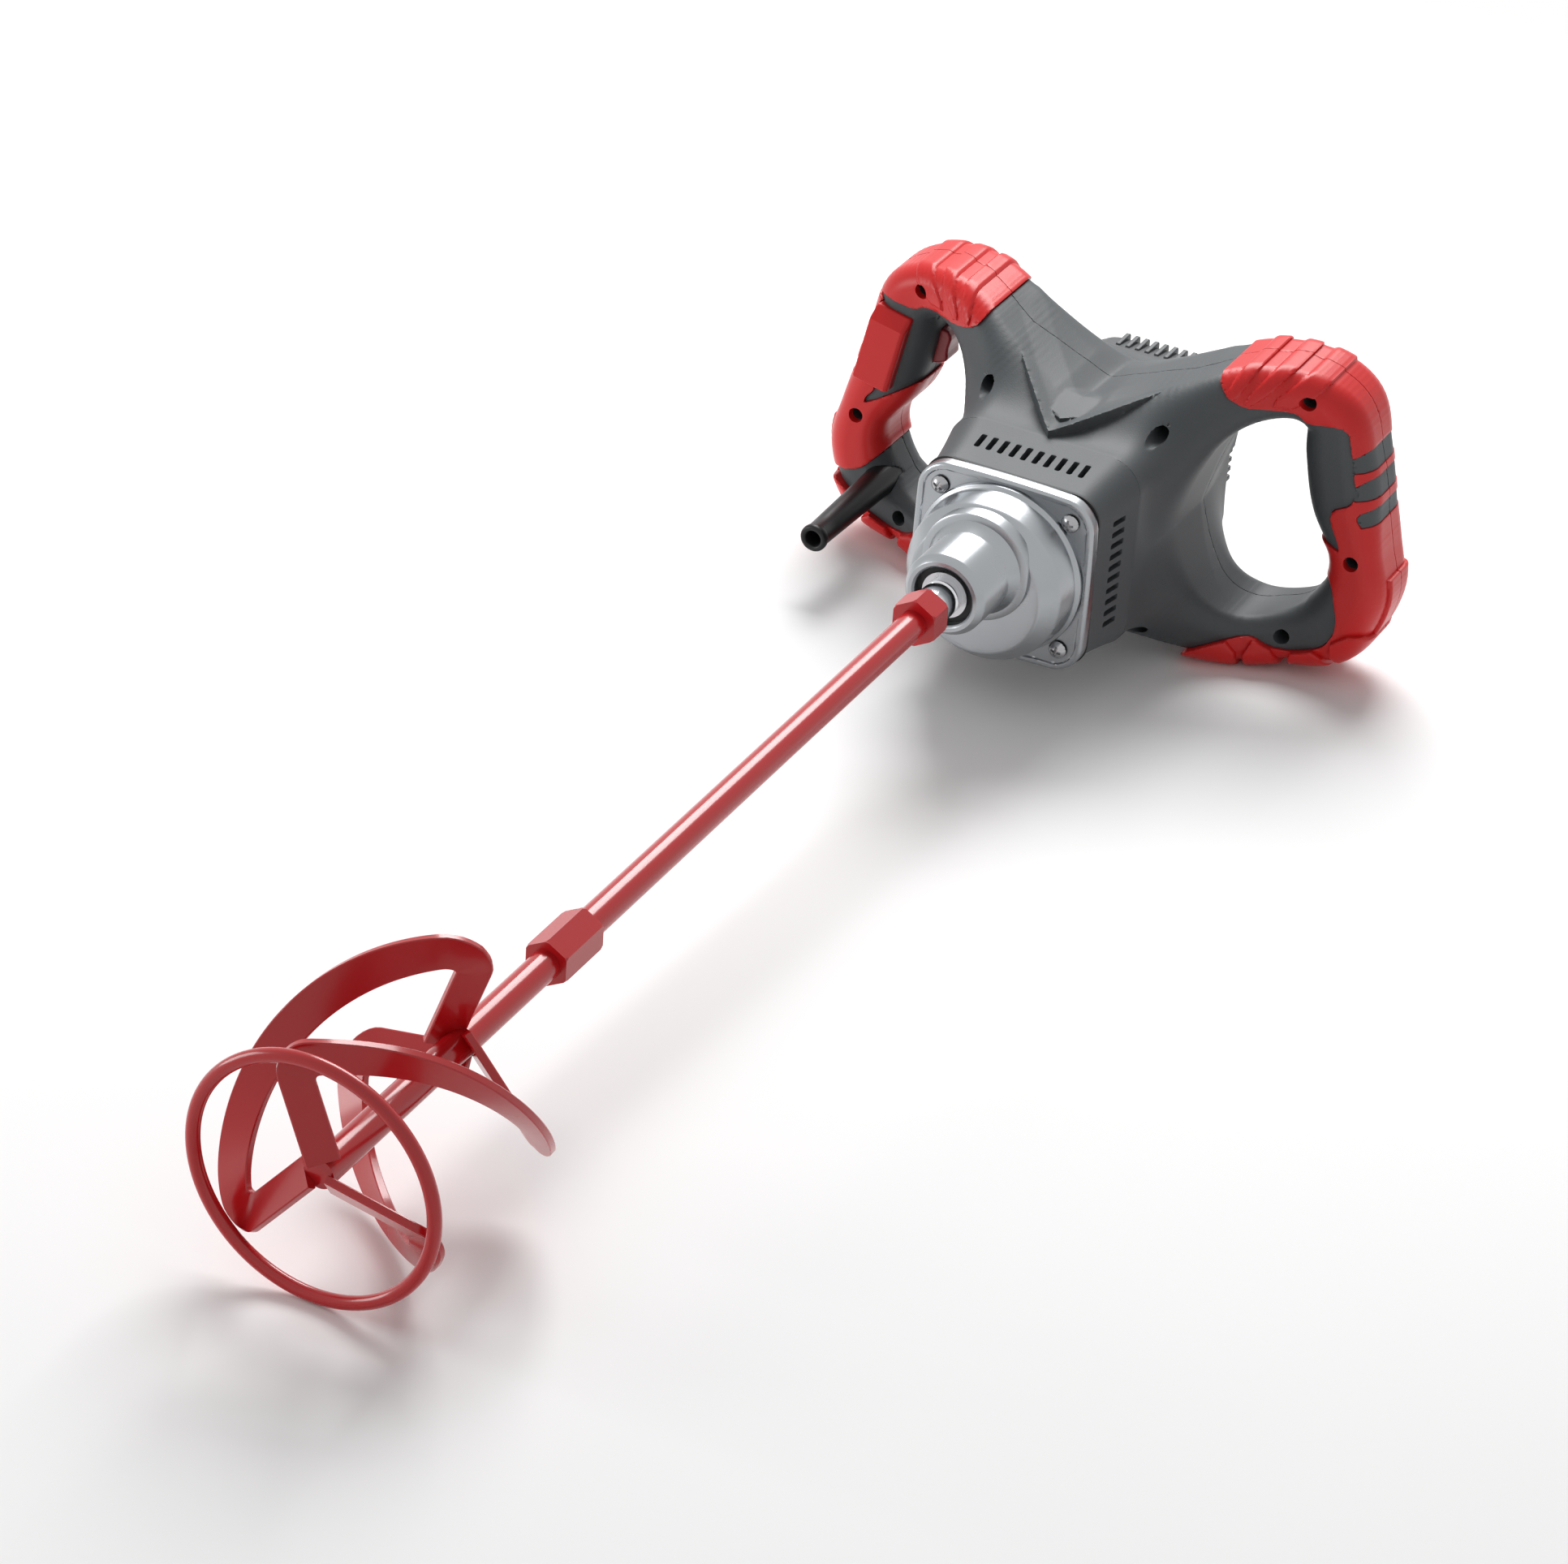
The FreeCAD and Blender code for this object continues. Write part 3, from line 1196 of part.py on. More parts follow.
def arm_strip(angle, reach, start, length):
    """A straight strip from the shaft's middle along a radius, as a prism along Y."""
    half = size.blade_arm_width / 2
    corners = [(NONE, -half), (reach, -half), (reach, half), (NONE, half)]
    points = [(out * math.cos(angle) - over * math.sin(angle), out * math.sin(angle) + over * math.cos(angle))
              for out, over in corners]
    return prism(points, start, length)


helicoid_step_count = 12
blade_top = shaft_end + size.blade_end_gap + size.blade_rise
blade_low = shaft_end - size.overrun
blade_height = size.blade_rise + size.overrun * 3


def upright_at(shape, radius):
    """Edges of a shape that run along Y at a distance from the spindle axis."""
    found = []
    for edge in shape.Edges:
        place = edge.Vertexes[0].Point
        if runs_along_y(edge) and abs(math.hypot(place.x, place.z) - float(radius)) < TOUCH:
            found.append(edge)
    return found


def mixing_blade(number):
    begin = math.radians(float(size.blade_start_deg) + 360 * number / float(size.blade_count))
    end = begin + math.radians(float(size.blade_sweep_deg))
    slab = blade_slab(begin, end, blade_top)
    ribbon_inner = size.blade_radius - size.ribbon_width
    plan = ring_sector(ribbon_inner, size.blade_radius, begin, end, blade_low, blade_height)
    plan = plan.fuse([arm_strip(angle, size.blade_radius * 2, blade_low, blade_height) for angle in (begin, end)])
    plan = plan.common(rod(size.blade_radius, blade_low, blade_height)).removeSplitter()
    plan = plan.makeFillet(float(size.blade_corner), upright_at(plan, size.blade_radius))
    plan = plan.makeFillet(float(size.blade_window_corner), upright_at(plan, ribbon_inner))
    return slab.common(plan).cut(rod(size.shaft_radius, blade_low, blade_height))


for number in range(int(float(size.blade_count))):
    solid("mixing_blade_%d" % (number + 1), mixing_blade(number))

# Check every object and every piece, then write the pieces

document.recompute()
for item in document.Objects:
    if "Invalid" in item.State or "Error" in item.State:
        raise RuntimeError("failed object " + item.Name)
for piece in pieces:
    if piece.Shape.isNull() or not piece.Shape.isValid():
        raise RuntimeError("bad shape " + piece.Label)
    if not piece.Shape.Solids:
        raise RuntimeError("no solid in " + piece.Label)
os.makedirs("parts", exist_ok=True)
for piece in pieces:
    piece.Shape.exportStep("parts/%s.step" % piece.Label)
print(len(pieces), "pieces written")
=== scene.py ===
import math
from functools import reduce
import bpy
import numpy as np
from mathutils import Matrix, Vector


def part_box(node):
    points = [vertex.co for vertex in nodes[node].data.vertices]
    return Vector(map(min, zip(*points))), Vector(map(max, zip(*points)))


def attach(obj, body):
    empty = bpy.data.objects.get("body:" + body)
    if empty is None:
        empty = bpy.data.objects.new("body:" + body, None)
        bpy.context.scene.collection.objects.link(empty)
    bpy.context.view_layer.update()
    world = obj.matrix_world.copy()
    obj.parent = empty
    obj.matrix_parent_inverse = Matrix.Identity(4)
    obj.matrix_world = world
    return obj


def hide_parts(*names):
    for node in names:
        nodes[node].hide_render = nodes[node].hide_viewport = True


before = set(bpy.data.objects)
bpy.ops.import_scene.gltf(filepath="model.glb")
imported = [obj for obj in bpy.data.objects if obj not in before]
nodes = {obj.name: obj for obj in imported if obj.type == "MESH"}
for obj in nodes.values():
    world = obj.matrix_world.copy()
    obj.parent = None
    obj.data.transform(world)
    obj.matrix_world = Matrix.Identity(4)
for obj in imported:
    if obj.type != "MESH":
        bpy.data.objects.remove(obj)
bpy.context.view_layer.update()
scene = bpy.context.scene
mm = 0.001

# Motor and gear train: steel shafts and gears, laminated cores, copper windings and bronze bushes.
# They run in bearings inside the housing, out of sight, so the solids themselves carry the finish.

grain_depth = 0.0002
coat_roughness = 0.12
mix_tones, mix_color = (6, 7), 2  # colour sockets of the Mix node


def node_group(name, kind, inputs, outputs):
    """An empty node group with named sockets: the group, its two ends and the sockets."""
    group = bpy.data.node_groups.new(name, kind)
    sockets = [group.interface.new_socket(label, in_out=way, socket_type="NodeSocket" + sort)
               for way, pairs in (("INPUT", inputs), ("OUTPUT", outputs)) for label, sort in pairs]
    return group, group.nodes.new("NodeGroupInput"), group.nodes.new("NodeGroupOutput"), sockets


def new_nodes(tree, prefix, *kinds):
    """One new node of each kind."""
    return [tree.nodes.new(prefix + kind) for kind in kinds]


def wire(tree, *links):
    """Links nodes; each link names a node, its output, the next node and its input."""
    for source, output, target, entry in links:
        tree.links.new(source.outputs[output], target.inputs[entry])


def set_inputs(node, values):
    """Sets inputs of a node that nothing is linked to."""
    for socket, value in values.items():
        node.inputs[socket].default_value = value


def build_mottle():
    """Two tones in soft clouds with a fine grain, and a roughness that follows them."""
    group, given, result, _ = node_group(
        "mottle", "ShaderNodeTree",
        (("Tone", "Color"), ("Second Tone", "Color"), ("Cloud Scale", "Float"), ("Grain Scale", "Float"),
         ("Roughness Low", "Float"), ("Roughness High", "Float")),
        (("Color", "Color"), ("Roughness", "Float"), ("Grain", "Float")))
    place, cloud, grain, mix, spread = new_nodes(
        group, "ShaderNode", "TexCoord", "TexNoise", "TexNoise", "Mix", "MapRange")
    mix.data_type = "RGBA"
    wire(group, (place, "Object", cloud, "Vector"), (given, "Cloud Scale", cloud, "Scale"),
         (place, "Object", grain, "Vector"), (given, "Grain Scale", grain, "Scale"),
         (cloud, "Fac", mix, "Factor"), (given, "Tone", mix, mix_tones[0]),
         (given, "Second Tone", mix, mix_tones[1]), (mix, mix_color, result, "Color"),
         (cloud, "Fac", spread, "Value"), (given, "Roughness Low", spread, "To Min"),
         (given, "Roughness High", spread, "To Max"), (spread, "Result", result, "Roughness"),
         (grain, "Fac", result, "Grain"))
    return group


mottle = build_mottle()


def finish_material(
        name, tone, second_tone, roughness, metallic=0.0, cloud=60.0, grain=900.0, bump=0.0, coat=0.0,
        specular=0.5):
    """A finish made of the mottle, with a grain that also stands out of the surface."""
    material = bpy.data.materials.new(name)
    material.use_nodes = True
    tree = material.node_tree
    shader, pattern = tree.nodes["Principled BSDF"], tree.nodes.new("ShaderNodeGroup")
    pattern.node_tree = mottle
    set_inputs(shader, {"Metallic": metallic, "Specular IOR Level": specular})
    set_inputs(pattern, {"Tone": (*tone, 1), "Second Tone": (*second_tone, 1), "Cloud Scale": cloud,
                         "Grain Scale": grain, "Roughness Low": roughness[0], "Roughness High": roughness[1]})
    wire(tree, (pattern, "Color", shader, "Base Color"), (pattern, "Roughness", shader, "Roughness"))
    if bump:
        relief = tree.nodes.new("ShaderNodeBump")
        set_inputs(relief, {"Strength": bump, "Distance": grain_depth})
        wire(tree, (pattern, "Grain", relief, "Height"), (relief, "Normal", shader, "Normal"))
    if coat:
        set_inputs(shader, {"Coat Weight": coat, "Coat Roughness": coat_roughness})
    return material


def dress(material, *names):
    """Gives CAD nodes a material."""
    for name in names:
        nodes[name].data.materials.clear()
        nodes[name].data.materials.append(material)


for finish, tone, second_tone, roughness, metallic, dressed in (
        ("ground_steel", (0.56, 0.56, 0.57), (0.46, 0.46, 0.48), (0.22, 0.34), 1.0,
         ("spindle", "output_gear", "countershaft", "countershaft_gear", "armature_shaft",
          "spindle_front_bearing", "motor_front_bearing", "motor_rear_bearing")),
        ("core_lamination", (0.2, 0.2, 0.21), (0.13, 0.13, 0.14), (0.4, 0.55), 0.9,
         ("armature_core", "field_core")),
        ("varnished_copper", (0.62, 0.27, 0.12), (0.45, 0.17, 0.07), (0.25, 0.4), 0.9,
         ("armature_windings", "field_windings", "commutator")),
        ("sintered_bronze", (0.5, 0.33, 0.16), (0.4, 0.25, 0.11), (0.35, 0.5), 0.9,
         ("spindle_rear_bush", "countershaft_front_bush", "countershaft_rear_bush", "brush_holders")),
        ("brush_carbon", (0.025, 0.025, 0.027), (0.015, 0.015, 0.016), (0.5, 0.65), 0.0, ("carbon_brushes",)),
        ("black_moulding", (0.03, 0.031, 0.033), (0.022, 0.022, 0.024), (0.4, 0.52), 0.0,
         ("fan", "switch_body")),
        ("plate_casting", (0.55, 0.56, 0.57), (0.45, 0.46, 0.47), (0.35, 0.5), 0.95, ("gear_plate",))):
    dress(finish_material(finish, tone, second_tone, roughness, metallic), *dressed)

# Gear case: an aluminium die casting, bead-blasted, with a square flange that four screws hold on.
# Its drum covers the gears and its nose carries the spindle bearing, with a turned collar for a clamp.


def rounded_box(u, v, half_u, half_v, corner):
    """Distance to a rectangle with round corners, negative inside."""
    return rounded_join(np.abs(u) - half_u, np.abs(v) - half_v, corner)


def rounded_join(first, second, edge):
    """What lies within two shapes, with a round edge where they meet."""
    over_first, over_second = first + edge, second + edge
    outside = np.hypot(np.maximum(over_first, 0), np.maximum(over_second, 0))
    return outside + np.minimum(np.maximum(over_first, over_second), 0) - edge


def smooth_union(first, second, blend):
    """What lies within either of two shapes, with a fillet where they meet."""
    share = np.clip(0.5 + 0.5 * (second - first) / blend, 0, 1)
    return second + (first - second) * share - blend * share * (1 - share)


def common(*shapes):
    """What lies within all of several shapes."""
    return reduce(np.maximum, shapes)


def cut(shape, *others):
    """A shape without the others."""
    return common(shape, *[-other for other in others])


def contour(field, low, high, step):
    """Corners and four-sided faces of the surface where a field is zero, with its sharp edges kept."""
    block, block_reach, batch = 8, 1.25, 400
    nudge, least_slope, shift_limit = step * 0.02, 0.2, 0.5 * step
    stiffness, cell_limit, tiny = 0.06, 0.55 * step, 1e-9
    low, high = np.asarray(low, float), np.asarray(high, float)
    counts = np.ceil((high - low) / (step * block)).astype(int)
    axes = [low[axis] + (np.arange(counts[axis]) + 0.5) * block * step for axis in range(3)]
    centres = np.stack(np.meshgrid(*axes, indexing="ij"), -1)
    middle = field(centres.reshape(-1, 3)).reshape(counts)
    values = np.pad(np.kron(middle, np.ones((block,) * 3)), ((0, 1),) * 3, mode="edge")
    near = np.argwhere(np.abs(middle) < block * step * block_reach)
    offsets = np.stack(np.meshgrid(*[np.arange(block + 1)] * 3, indexing="ij"), -1).reshape(-1, 3)
    for start in range(0, len(near), batch):
        index = (near[start:start + batch, None, :] * block + offsets).reshape(-1, 3)
        values[tuple(index.T)] = field(low + index * step)
    cells = counts * block
    owners, crossings, slopes, faces = [], [], [], []
    for axis in range(3):
        first = np.take(values, np.arange(cells[axis]), axis)
        second = np.take(values, np.arange(1, cells[axis] + 1), axis)
        where = np.argwhere((first < 0) != (second < 0))
        sides = [(axis + 1) % 3, (axis + 2) % 3]
        where = where[np.all((where[:, sides] > 0) & (where[:, sides] < cells[sides]), 1)]
        start_value, end_value = first[tuple(where.T)], second[tuple(where.T)]
        points = low + where * step
        points[:, axis] += step * start_value / (start_value - end_value)
        here = field(points)
        slope = np.stack([(field(points + nudge * unit) - here) / nudge for unit in np.eye(3)], -1)
        along = slope[:, axis]
        steep = np.abs(along) > least_slope
        shift = np.where(steep, -here / np.where(steep, along, 1), 0)
        points[:, axis] += np.clip(shift, -shift_limit, shift_limit)
        slope /= np.maximum(np.linalg.norm(slope, axis=1, keepdims=True), tiny)
        around = []
        for back in ((1, 1), (0, 1), (0, 0), (1, 0)):
            cell = where.copy()
            cell[:, sides] -= back
            around.append(np.ravel_multi_index(tuple(cell.T), cells))
        owners += around
        crossings += [points] * 4
        slopes += [slope] * 4
        quad = np.stack(around, -1)
        turned = start_value > 0
        quad[turned] = quad[turned][:, ::-1]
        faces.append(quad)
    used, slot = np.unique(np.concatenate(owners), return_inverse=True)
    crossings, slopes = np.concatenate(crossings), np.concatenate(slopes)
    number = np.bincount(slot).astype(float)
    mean = np.stack([np.bincount(slot, crossings[:, axis]) for axis in range(3)], -1) / number[:, None]
    lift = np.einsum("ij,ij->i", slopes, crossings - mean[slot])
    right = np.stack([np.bincount(slot, slopes[:, row] * lift) for row in range(3)], -1)
    matrix = np.stack(
        [np.bincount(slot, slopes[:, row] * slopes[:, column]) for row in range(3) for column in range(3)],
        -1).reshape(-1, 3, 3)
    move = np.linalg.solve(matrix + np.eye(3) * stiffness, right[..., None])[..., 0]
    centre = low + (np.stack(np.unravel_index(used, cells), -1) + 0.5) * step
    corners = np.clip(mean + move, centre - cell_limit, centre + cell_limit)
    return corners, np.searchsorted(used, np.concatenate(faces))


def new_mesh(name, corners, faces, sharp_degrees):
    """A mesh from corners in millimetres and four-sided faces, smooth but for its sharp edges."""
    mesh = bpy.data.meshes.new(name)
    mesh.vertices.add(len(corners))
    mesh.vertices.foreach_set("co", (np.asarray(corners, float) * mm).ravel())
    mesh.loops.add(faces.size)
    mesh.loops.foreach_set("vertex_index", faces.ravel().astype(np.int32))
    mesh.polygons.add(len(faces))
    mesh.polygons.foreach_set("loop_start", np.arange(0, faces.size, 4, dtype=np.int32))
    mesh.update(calc_edges=True)
    mesh.validate()
    mesh.polygons.foreach_set("use_smooth", np.ones(len(mesh.polygons), bool))
    mesh.set_sharp_from_angle(angle=math.radians(sharp_degrees))
    return mesh


def new_object(name, data):
    """An object in the scene."""
    item = bpy.data.objects.new(name, data)
    scene.collection.objects.link(item)
    return item


def add_piece(name, mesh, material, body, slot, *replaced):
    """Puts a finished mesh into the scene on a body, in the place of CAD nodes."""
    piece = new_object(name, mesh)
    mesh.materials.clear()
    mesh.materials.append(material)
    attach(piece, body)
    if replaced:
        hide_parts(*replaced)


def add_shape(name, shape, material, body, slot, *replaced, sharp=38.0):
    """Puts corners and faces into the scene as a piece."""
    add_piece(name, new_mesh(name, *shape, sharp), material, body, slot, *replaced)


motor_z = -14.0
motor_middle = (0, 0, motor_z)
flange_front, flange_back = 49.0, 57.0
flange_half, flange_corner, flange_bow, flange_edge = 48.5, 15.0, 1.6, 1.8
rim_width, rim_height, rim_edge = 3.6, 0.9, 0.5
flange_bore, screw_place, screw_hole_radius = 40.0, 35.4, 2.6
wall_radius, wall_middle, wall_half, wall_bore = 33.6, 25.4, 3.47, 17.1


def lathe(profile, segments, x=0.0, z=0.0):
    """Corners and faces of a profile of (radius, y) turned about a line along Y, closed on itself."""
    angles = np.arange(segments) * 2 * math.pi / segments
    radii, heights = np.asarray(profile, float).T[:, :, None]
    rings = x + radii * np.cos(angles), heights, z + radii * np.sin(angles)
    corners = np.stack(np.broadcast_arrays(*rings), -1)
    index = np.arange(corners.size // 3).reshape(corners.shape[:2])
    ahead, beside = np.roll(index, -1, 0), np.roll(index, -1, 1)
    both = np.roll(ahead, -1, 1)
    return corners.reshape(-1, 3), np.stack([index, ahead, both, beside], -1).reshape(-1, 4)


def joined(*shapes):
    """Several lots of corners and faces as one."""
    first_numbers = np.cumsum([0] + [len(corners) for corners, _ in shapes[:-1]])
    return (np.vstack([corners for corners, _ in shapes]),
            np.vstack([faces + number for (_, faces), number in zip(shapes, first_numbers)]))


def front_wall_field(points):
    """The drum's flat front wall, open about the spindle."""
    x, y, z = points.T
    disc = common(np.hypot(x, z - motor_z) - wall_radius, np.abs(y - wall_middle) - wall_half)
    return cut(disc, np.hypot(x, z) - wall_bore)


def flange_field(points):
    """The square flange with bowed sides, a raised rim and four screw holes."""
    x, y, z = (points - motor_middle).T
    bowed_x = np.abs(x) + flange_bow * (z / flange_half) ** 2
    bowed_z = np.abs(z) + flange_bow * (x / flange_half) ** 2
    square = rounded_box(bowed_x, bowed_z, flange_half, flange_half, flange_corner)
    plate = rounded_join(square, common(flange_front - y, y - flange_back), flange_edge)
    panel = rounded_join(square + rim_width, y - flange_front - rim_height, rim_edge)
    holes = np.hypot(np.abs(x) - screw_place, np.abs(z) - screw_place) - screw_hole_radius
    return cut(plate, panel, np.hypot(x, z) - flange_bore, holes)


drum_profile = (
    (38.0, 57.0), (45.2, 57.0), (45.2, 48.0), (45.0, 47.4), (44.5, 47.1), (43.7, 46.9), (43.1, 46.4),
    (42.8, 45.6), (42.1, 32.2), (41.8, 31.2), (41.2, 30.3), (35.6, 22.8), (35.0, 22.2), (34.2, 21.9),
    (33.0, 21.9), (33.0, 28.9), (38.0, 34.9))
nose_profile = (
    (15.3, 9.0), (15.3, -14.6), (15.6, -15.2), (16.6, -16.0), (18.5, -16.0), (18.9, -15.7), (21.2, -12.9),
    (21.5, -12.2), (21.5, 12.2), (21.8, 12.9), (24.3, 18.2), (24.9, 18.9), (27.7, 19.2), (28.4, 19.6),
    (28.6, 20.3), (28.6, 27.0), (17.1, 27.0), (17.1, 9.0))
case_step = 0.75
case_metal = finish_material(
    "cast_aluminium", (0.36, 0.375, 0.39), (0.33, 0.345, 0.36), (0.25, 0.31), 1.0, cloud=25.0, grain=1800.0,
    bump=0.12)
flange = contour(flange_field, (-52, 46, -66), (52, 60, 38), case_step)
front_wall = contour(front_wall_field, (-38, 19, -52), (38, 32, 24), case_step * 2)
casting = joined(
    flange, front_wall, lathe(drum_profile, 160, 0.0, motor_z), lathe(nose_profile, 128))
add_shape("gear_case_casting", casting, case_metal, "housing", "gear_case_metal", "gear_case", sharp=30.0)

# Gasket and seal: a thin fibre gasket squeezed between the flange and the housing, and a rubber lip seal
# in the nose. Both are plain rings, so the solids stay and only take their finish.

gasket_fibre = finish_material(
    "gasket_fibre", (0.012, 0.012, 0.013), (0.02, 0.02, 0.021), (0.55, 0.7), bump=0.2)
rubber = finish_material(
    "black_rubber", (0.006, 0.006, 0.007), (0.01, 0.01, 0.011), (0.34, 0.46), bump=0.15, specular=0.3)
dress(gasket_fibre, "flange_gasket")
dress(rubber, "spindle_seal")

# Screws: zinc-plated steel with cross-recessed pan heads, four in the flange, ten in the shells and four
# in the cover. The flange screws pull the gear case on, the shell screws sit at the bottom of deep recesses.

crown_share, head_edge = 1.1, 0.5
recess_width, recess_reach, recess_depth = 0.13, 0.55, 0.42


def screw_field(points, radius, height, shank_radius, length):
    """A pan-head screw along Y with its head towards -Y and its seat at the origin."""
    x, y, z = points.T
    out = np.hypot(x, z)
    crown = np.hypot(out, y - radius * crown_share + height) - radius * crown_share
    head = rounded_join(common(crown, out - radius), y, head_edge)
    cross = np.minimum(
        common(np.abs(x) - radius * recess_width, np.abs(z) - radius * recess_reach),
        common(np.abs(z) - radius * recess_width, np.abs(x) - radius * recess_reach))
    head = cut(head, common(cross, y + height * recess_depth))
    return np.minimum(head, common(out - shank_radius, -y - head_edge, y - length))


def build_placing():
    """Geometry nodes: one copy of an object on each corner of a mesh, turned as the corner says."""
    group, given, result, sockets = node_group(
        "placed_copies", "GeometryNodeTree",
        (("Places", "Geometry"), ("Copy", "Object"), ("Finish", "Material")), (("Copies", "Geometry"),))
    points, source, turn, place, real, finish = new_nodes(
        group, "GeometryNode", "MeshToPoints", "ObjectInfo", "InputNamedAttribute", "InstanceOnPoints",
        "RealizeInstances", "SetMaterial")
    turn.data_type = "FLOAT_VECTOR"
    set_inputs(turn, {"Name": "turn"})
    wire(group, (given, "Places", points, "Mesh"), (given, "Copy", source, "Object"),
         (points, "Points", place, "Points"), (source, "Geometry", place, "Instance"),
         (turn, "Attribute", place, "Rotation"), (place, "Instances", real, "Geometry"),
         (real, "Geometry", finish, "Geometry"), (given, "Finish", finish, "Material"),
         (finish, "Geometry", result, "Copies"))
    return group, sockets[1].identifier, sockets[2].identifier


placing, copy_socket, finish_socket = build_placing()


def placed_copies(name, copy_mesh, places, turns, material):
    """A mesh with one copy at each place in millimetres, each turned by Euler angles."""
    seats = bpy.data.meshes.new(name + "_places")
    seats.from_pydata([[value * mm for value in place] for place in places], [], [])
    turn = seats.attributes.new("turn", "FLOAT_VECTOR", "POINT")
    turn.data.foreach_set("vector", np.asarray(turns, float).ravel())
    copy, holder = new_object(name + "_copy", copy_mesh), new_object(name + "_holder", seats)
    modifier = holder.modifiers.new("placing", "NODES")
    modifier.node_group = placing
    modifier[copy_socket] = copy
    modifier[finish_socket] = material
    graph = bpy.context.evaluated_depsgraph_get()
    mesh = bpy.data.meshes.new_from_object(holder.evaluated_get(graph))
    for item in (holder, copy):
        bpy.data.objects.remove(item)
    mesh.name = name
    return mesh


plated_steel = finish_material(
    "plated_steel", (0.42, 0.42, 0.43), (0.32, 0.32, 0.33), (0.2, 0.3), 1.0, cloud=300.0)
handle_reach, handle_rise = 150.0, 86.0


def from_shares(shares):
    """Places in the X-Z plane from shares of the handles' reach and rise."""
    return [(handle_reach * across, motor_z + handle_rise * up) for across, up in shares]


seam_x = (45.0, 97.0)
seam_y = (167.0, 191.0)
shell_web = 9.0


def boss_seat(x):
    """Where the head of a shell screw sits along Y."""
    return np.interp(x, seam_x, seam_y) - shell_web


boss_places = from_shares(((0.715, 0.84), (0.314, 0.642), (0.93, -0.105), (0.727, -0.692), (0.314, -0.642)))
cover_screw_place, cover_screw_seat = 33.0, 236.4
first_turn, next_turn = 0.7, 1.3
screw_step = 0.35
four_corners = [(x, z) for x in (-1, 1) for z in (-1, 1)]
screw_kinds = (
    ("flange_screw_set", "flange_screws", 5.0, 3.0, 2.5, 22.0, 0.0,
     [(screw_place * x, flange_front, motor_z + screw_place * z) for x, z in four_corners]),
    ("shell_screw_set", "shell_screws", 3.5, 2.8, 2.0, 21.0, 0.0,
     [(side * x, boss_seat(x), z) for x, z in boss_places for side in (-1, 1)]),
    ("cover_screw_set", "rear_cover_screws", 3.8, 2.6, 2.0, 17.4, math.pi,
     [(cover_screw_place * x, cover_screw_seat, motor_z + cover_screw_place * z) for x, z in four_corners]),
)
for name, node, radius, height, shank, length, flip, places in screw_kinds:
    screw = contour(
        lambda points: screw_field(points, radius, height, shank, length),
        (-radius - 1, -height - 1, -radius - 1), (radius + 1, length + 1, radius + 1), screw_step)
    turns = [(flip, first_turn + next_turn * number, 0) for number in range(len(places))]
    mesh = placed_copies(name, new_mesh(name + "_one", *screw, 32.0), places, turns, plated_steel)
    add_piece(name, mesh, plated_steel, "housing", "screw_steel", node)

# Vented collar: a grey moulding between the gear case and the shells that lets the fan blow out through
# its slots. The gear case clamps it against the shells, and a fine parting line shows at both ends.

collar_front = 58.0
shell_front = 93.0
shell_rear = 217.0
motor_bore = 43.0
collar_half, collar_spread, collar_curve, collar_edge, corner_spread = 47.0, 5.5, 1.3, 1.5, 2
slot_count, slot_pitch, slot_half_width, slot_corner, slot_depth = 10, 6.3, 1.5, 0.9, 10
slot_y = (72.0, 82.5)
line_gap = 0.18


def collar_field(points):
    x, y, z = (points - motor_middle).T
    share = (y - collar_front) / (shell_front - collar_front)
    half = collar_half + collar_spread * np.clip(share, 0, 1) ** collar_curve
    body = rounded_box(x, z, half, half, flange_corner + corner_spread * share)
    body = rounded_join(body, collar_front - y, collar_edge)
    body = cut(common(body, y - shell_front + line_gap), np.hypot(x, z) - motor_bore)
    last_slot = slot_count / 2 - 0.5
    for across, outward in ((x, np.abs(z)), (z, np.abs(x))):
        number = np.clip(np.round(across / slot_pitch + 0.5) - 0.5, -last_slot, last_slot)
        slot = rounded_box(across - number * slot_pitch, y - sum(slot_y) / 2, slot_half_width,
                           (slot_y[1] - slot_y[0]) / 2, slot_corner)
        body = cut(body, common(slot, motor_bore - slot_depth - outward))
    return body


collar_step = 0.8
body_grey = finish_material(
    "grey_moulding", (0.06, 0.067, 0.072), (0.053, 0.06, 0.064), (0.46, 0.56), cloud=14.0, grain=1500.0,
    bump=0.35, specular=0.4)
add_shape("vent_collar_moulding", contour(collar_field, (-56, 55, -70), (56, 96, 42), collar_step), body_grey,
          "housing", "body_grey", "vent_collar")

# Front and rear shell: textured grey mouldings that meet on a parting line and clamp the motor between
# them. The handle loops grow out of the motor housing; screws go in from the front through deep recesses.

handle_station_shares = (
    (0.227, 0.442, 0.76, 1.21, 1.64), (0.373, 0.674, 0.83, 0.92, 1.5), (0.52, 0.808, 0.915, 0.763, 1.27),
    (0.673, 0.82, 0.982, 0.665, 1.09), (0.78, 0.709, 1.0, 0.82, 1.02), (0.81, 0.477, 1.0, 0.95, 1.0),
    (0.853, 0.186, 0.993, 0.95, 0.98), (0.92, -0.093, 0.982, 0.665, 0.955),
    (0.93, -0.349, 0.975, 0.842, 0.955), (0.853, -0.605, 0.968, 0.895, 0.955),
    (0.713, -0.712, 0.958, 0.63, 1.02), (0.553, -0.751, 0.908, 0.62, 1.23),
    (0.387, -0.651, 0.83, 0.868, 1.45), (0.227, -0.442, 0.76, 1.21, 1.64),
)
handle_back = 142.0
grip_half_width, grip_half_depth, handle_round = 19.0, 22.0, 0.78
housing_y = (93.0, 167.0, 217.0)
housing_half_width, housing_half_height = (52.5, 55.0, 50.0), (52.5, 50.0, 46.0)
housing_corner, housing_edge, arm_blend = 17.0, 3.0, 30.0
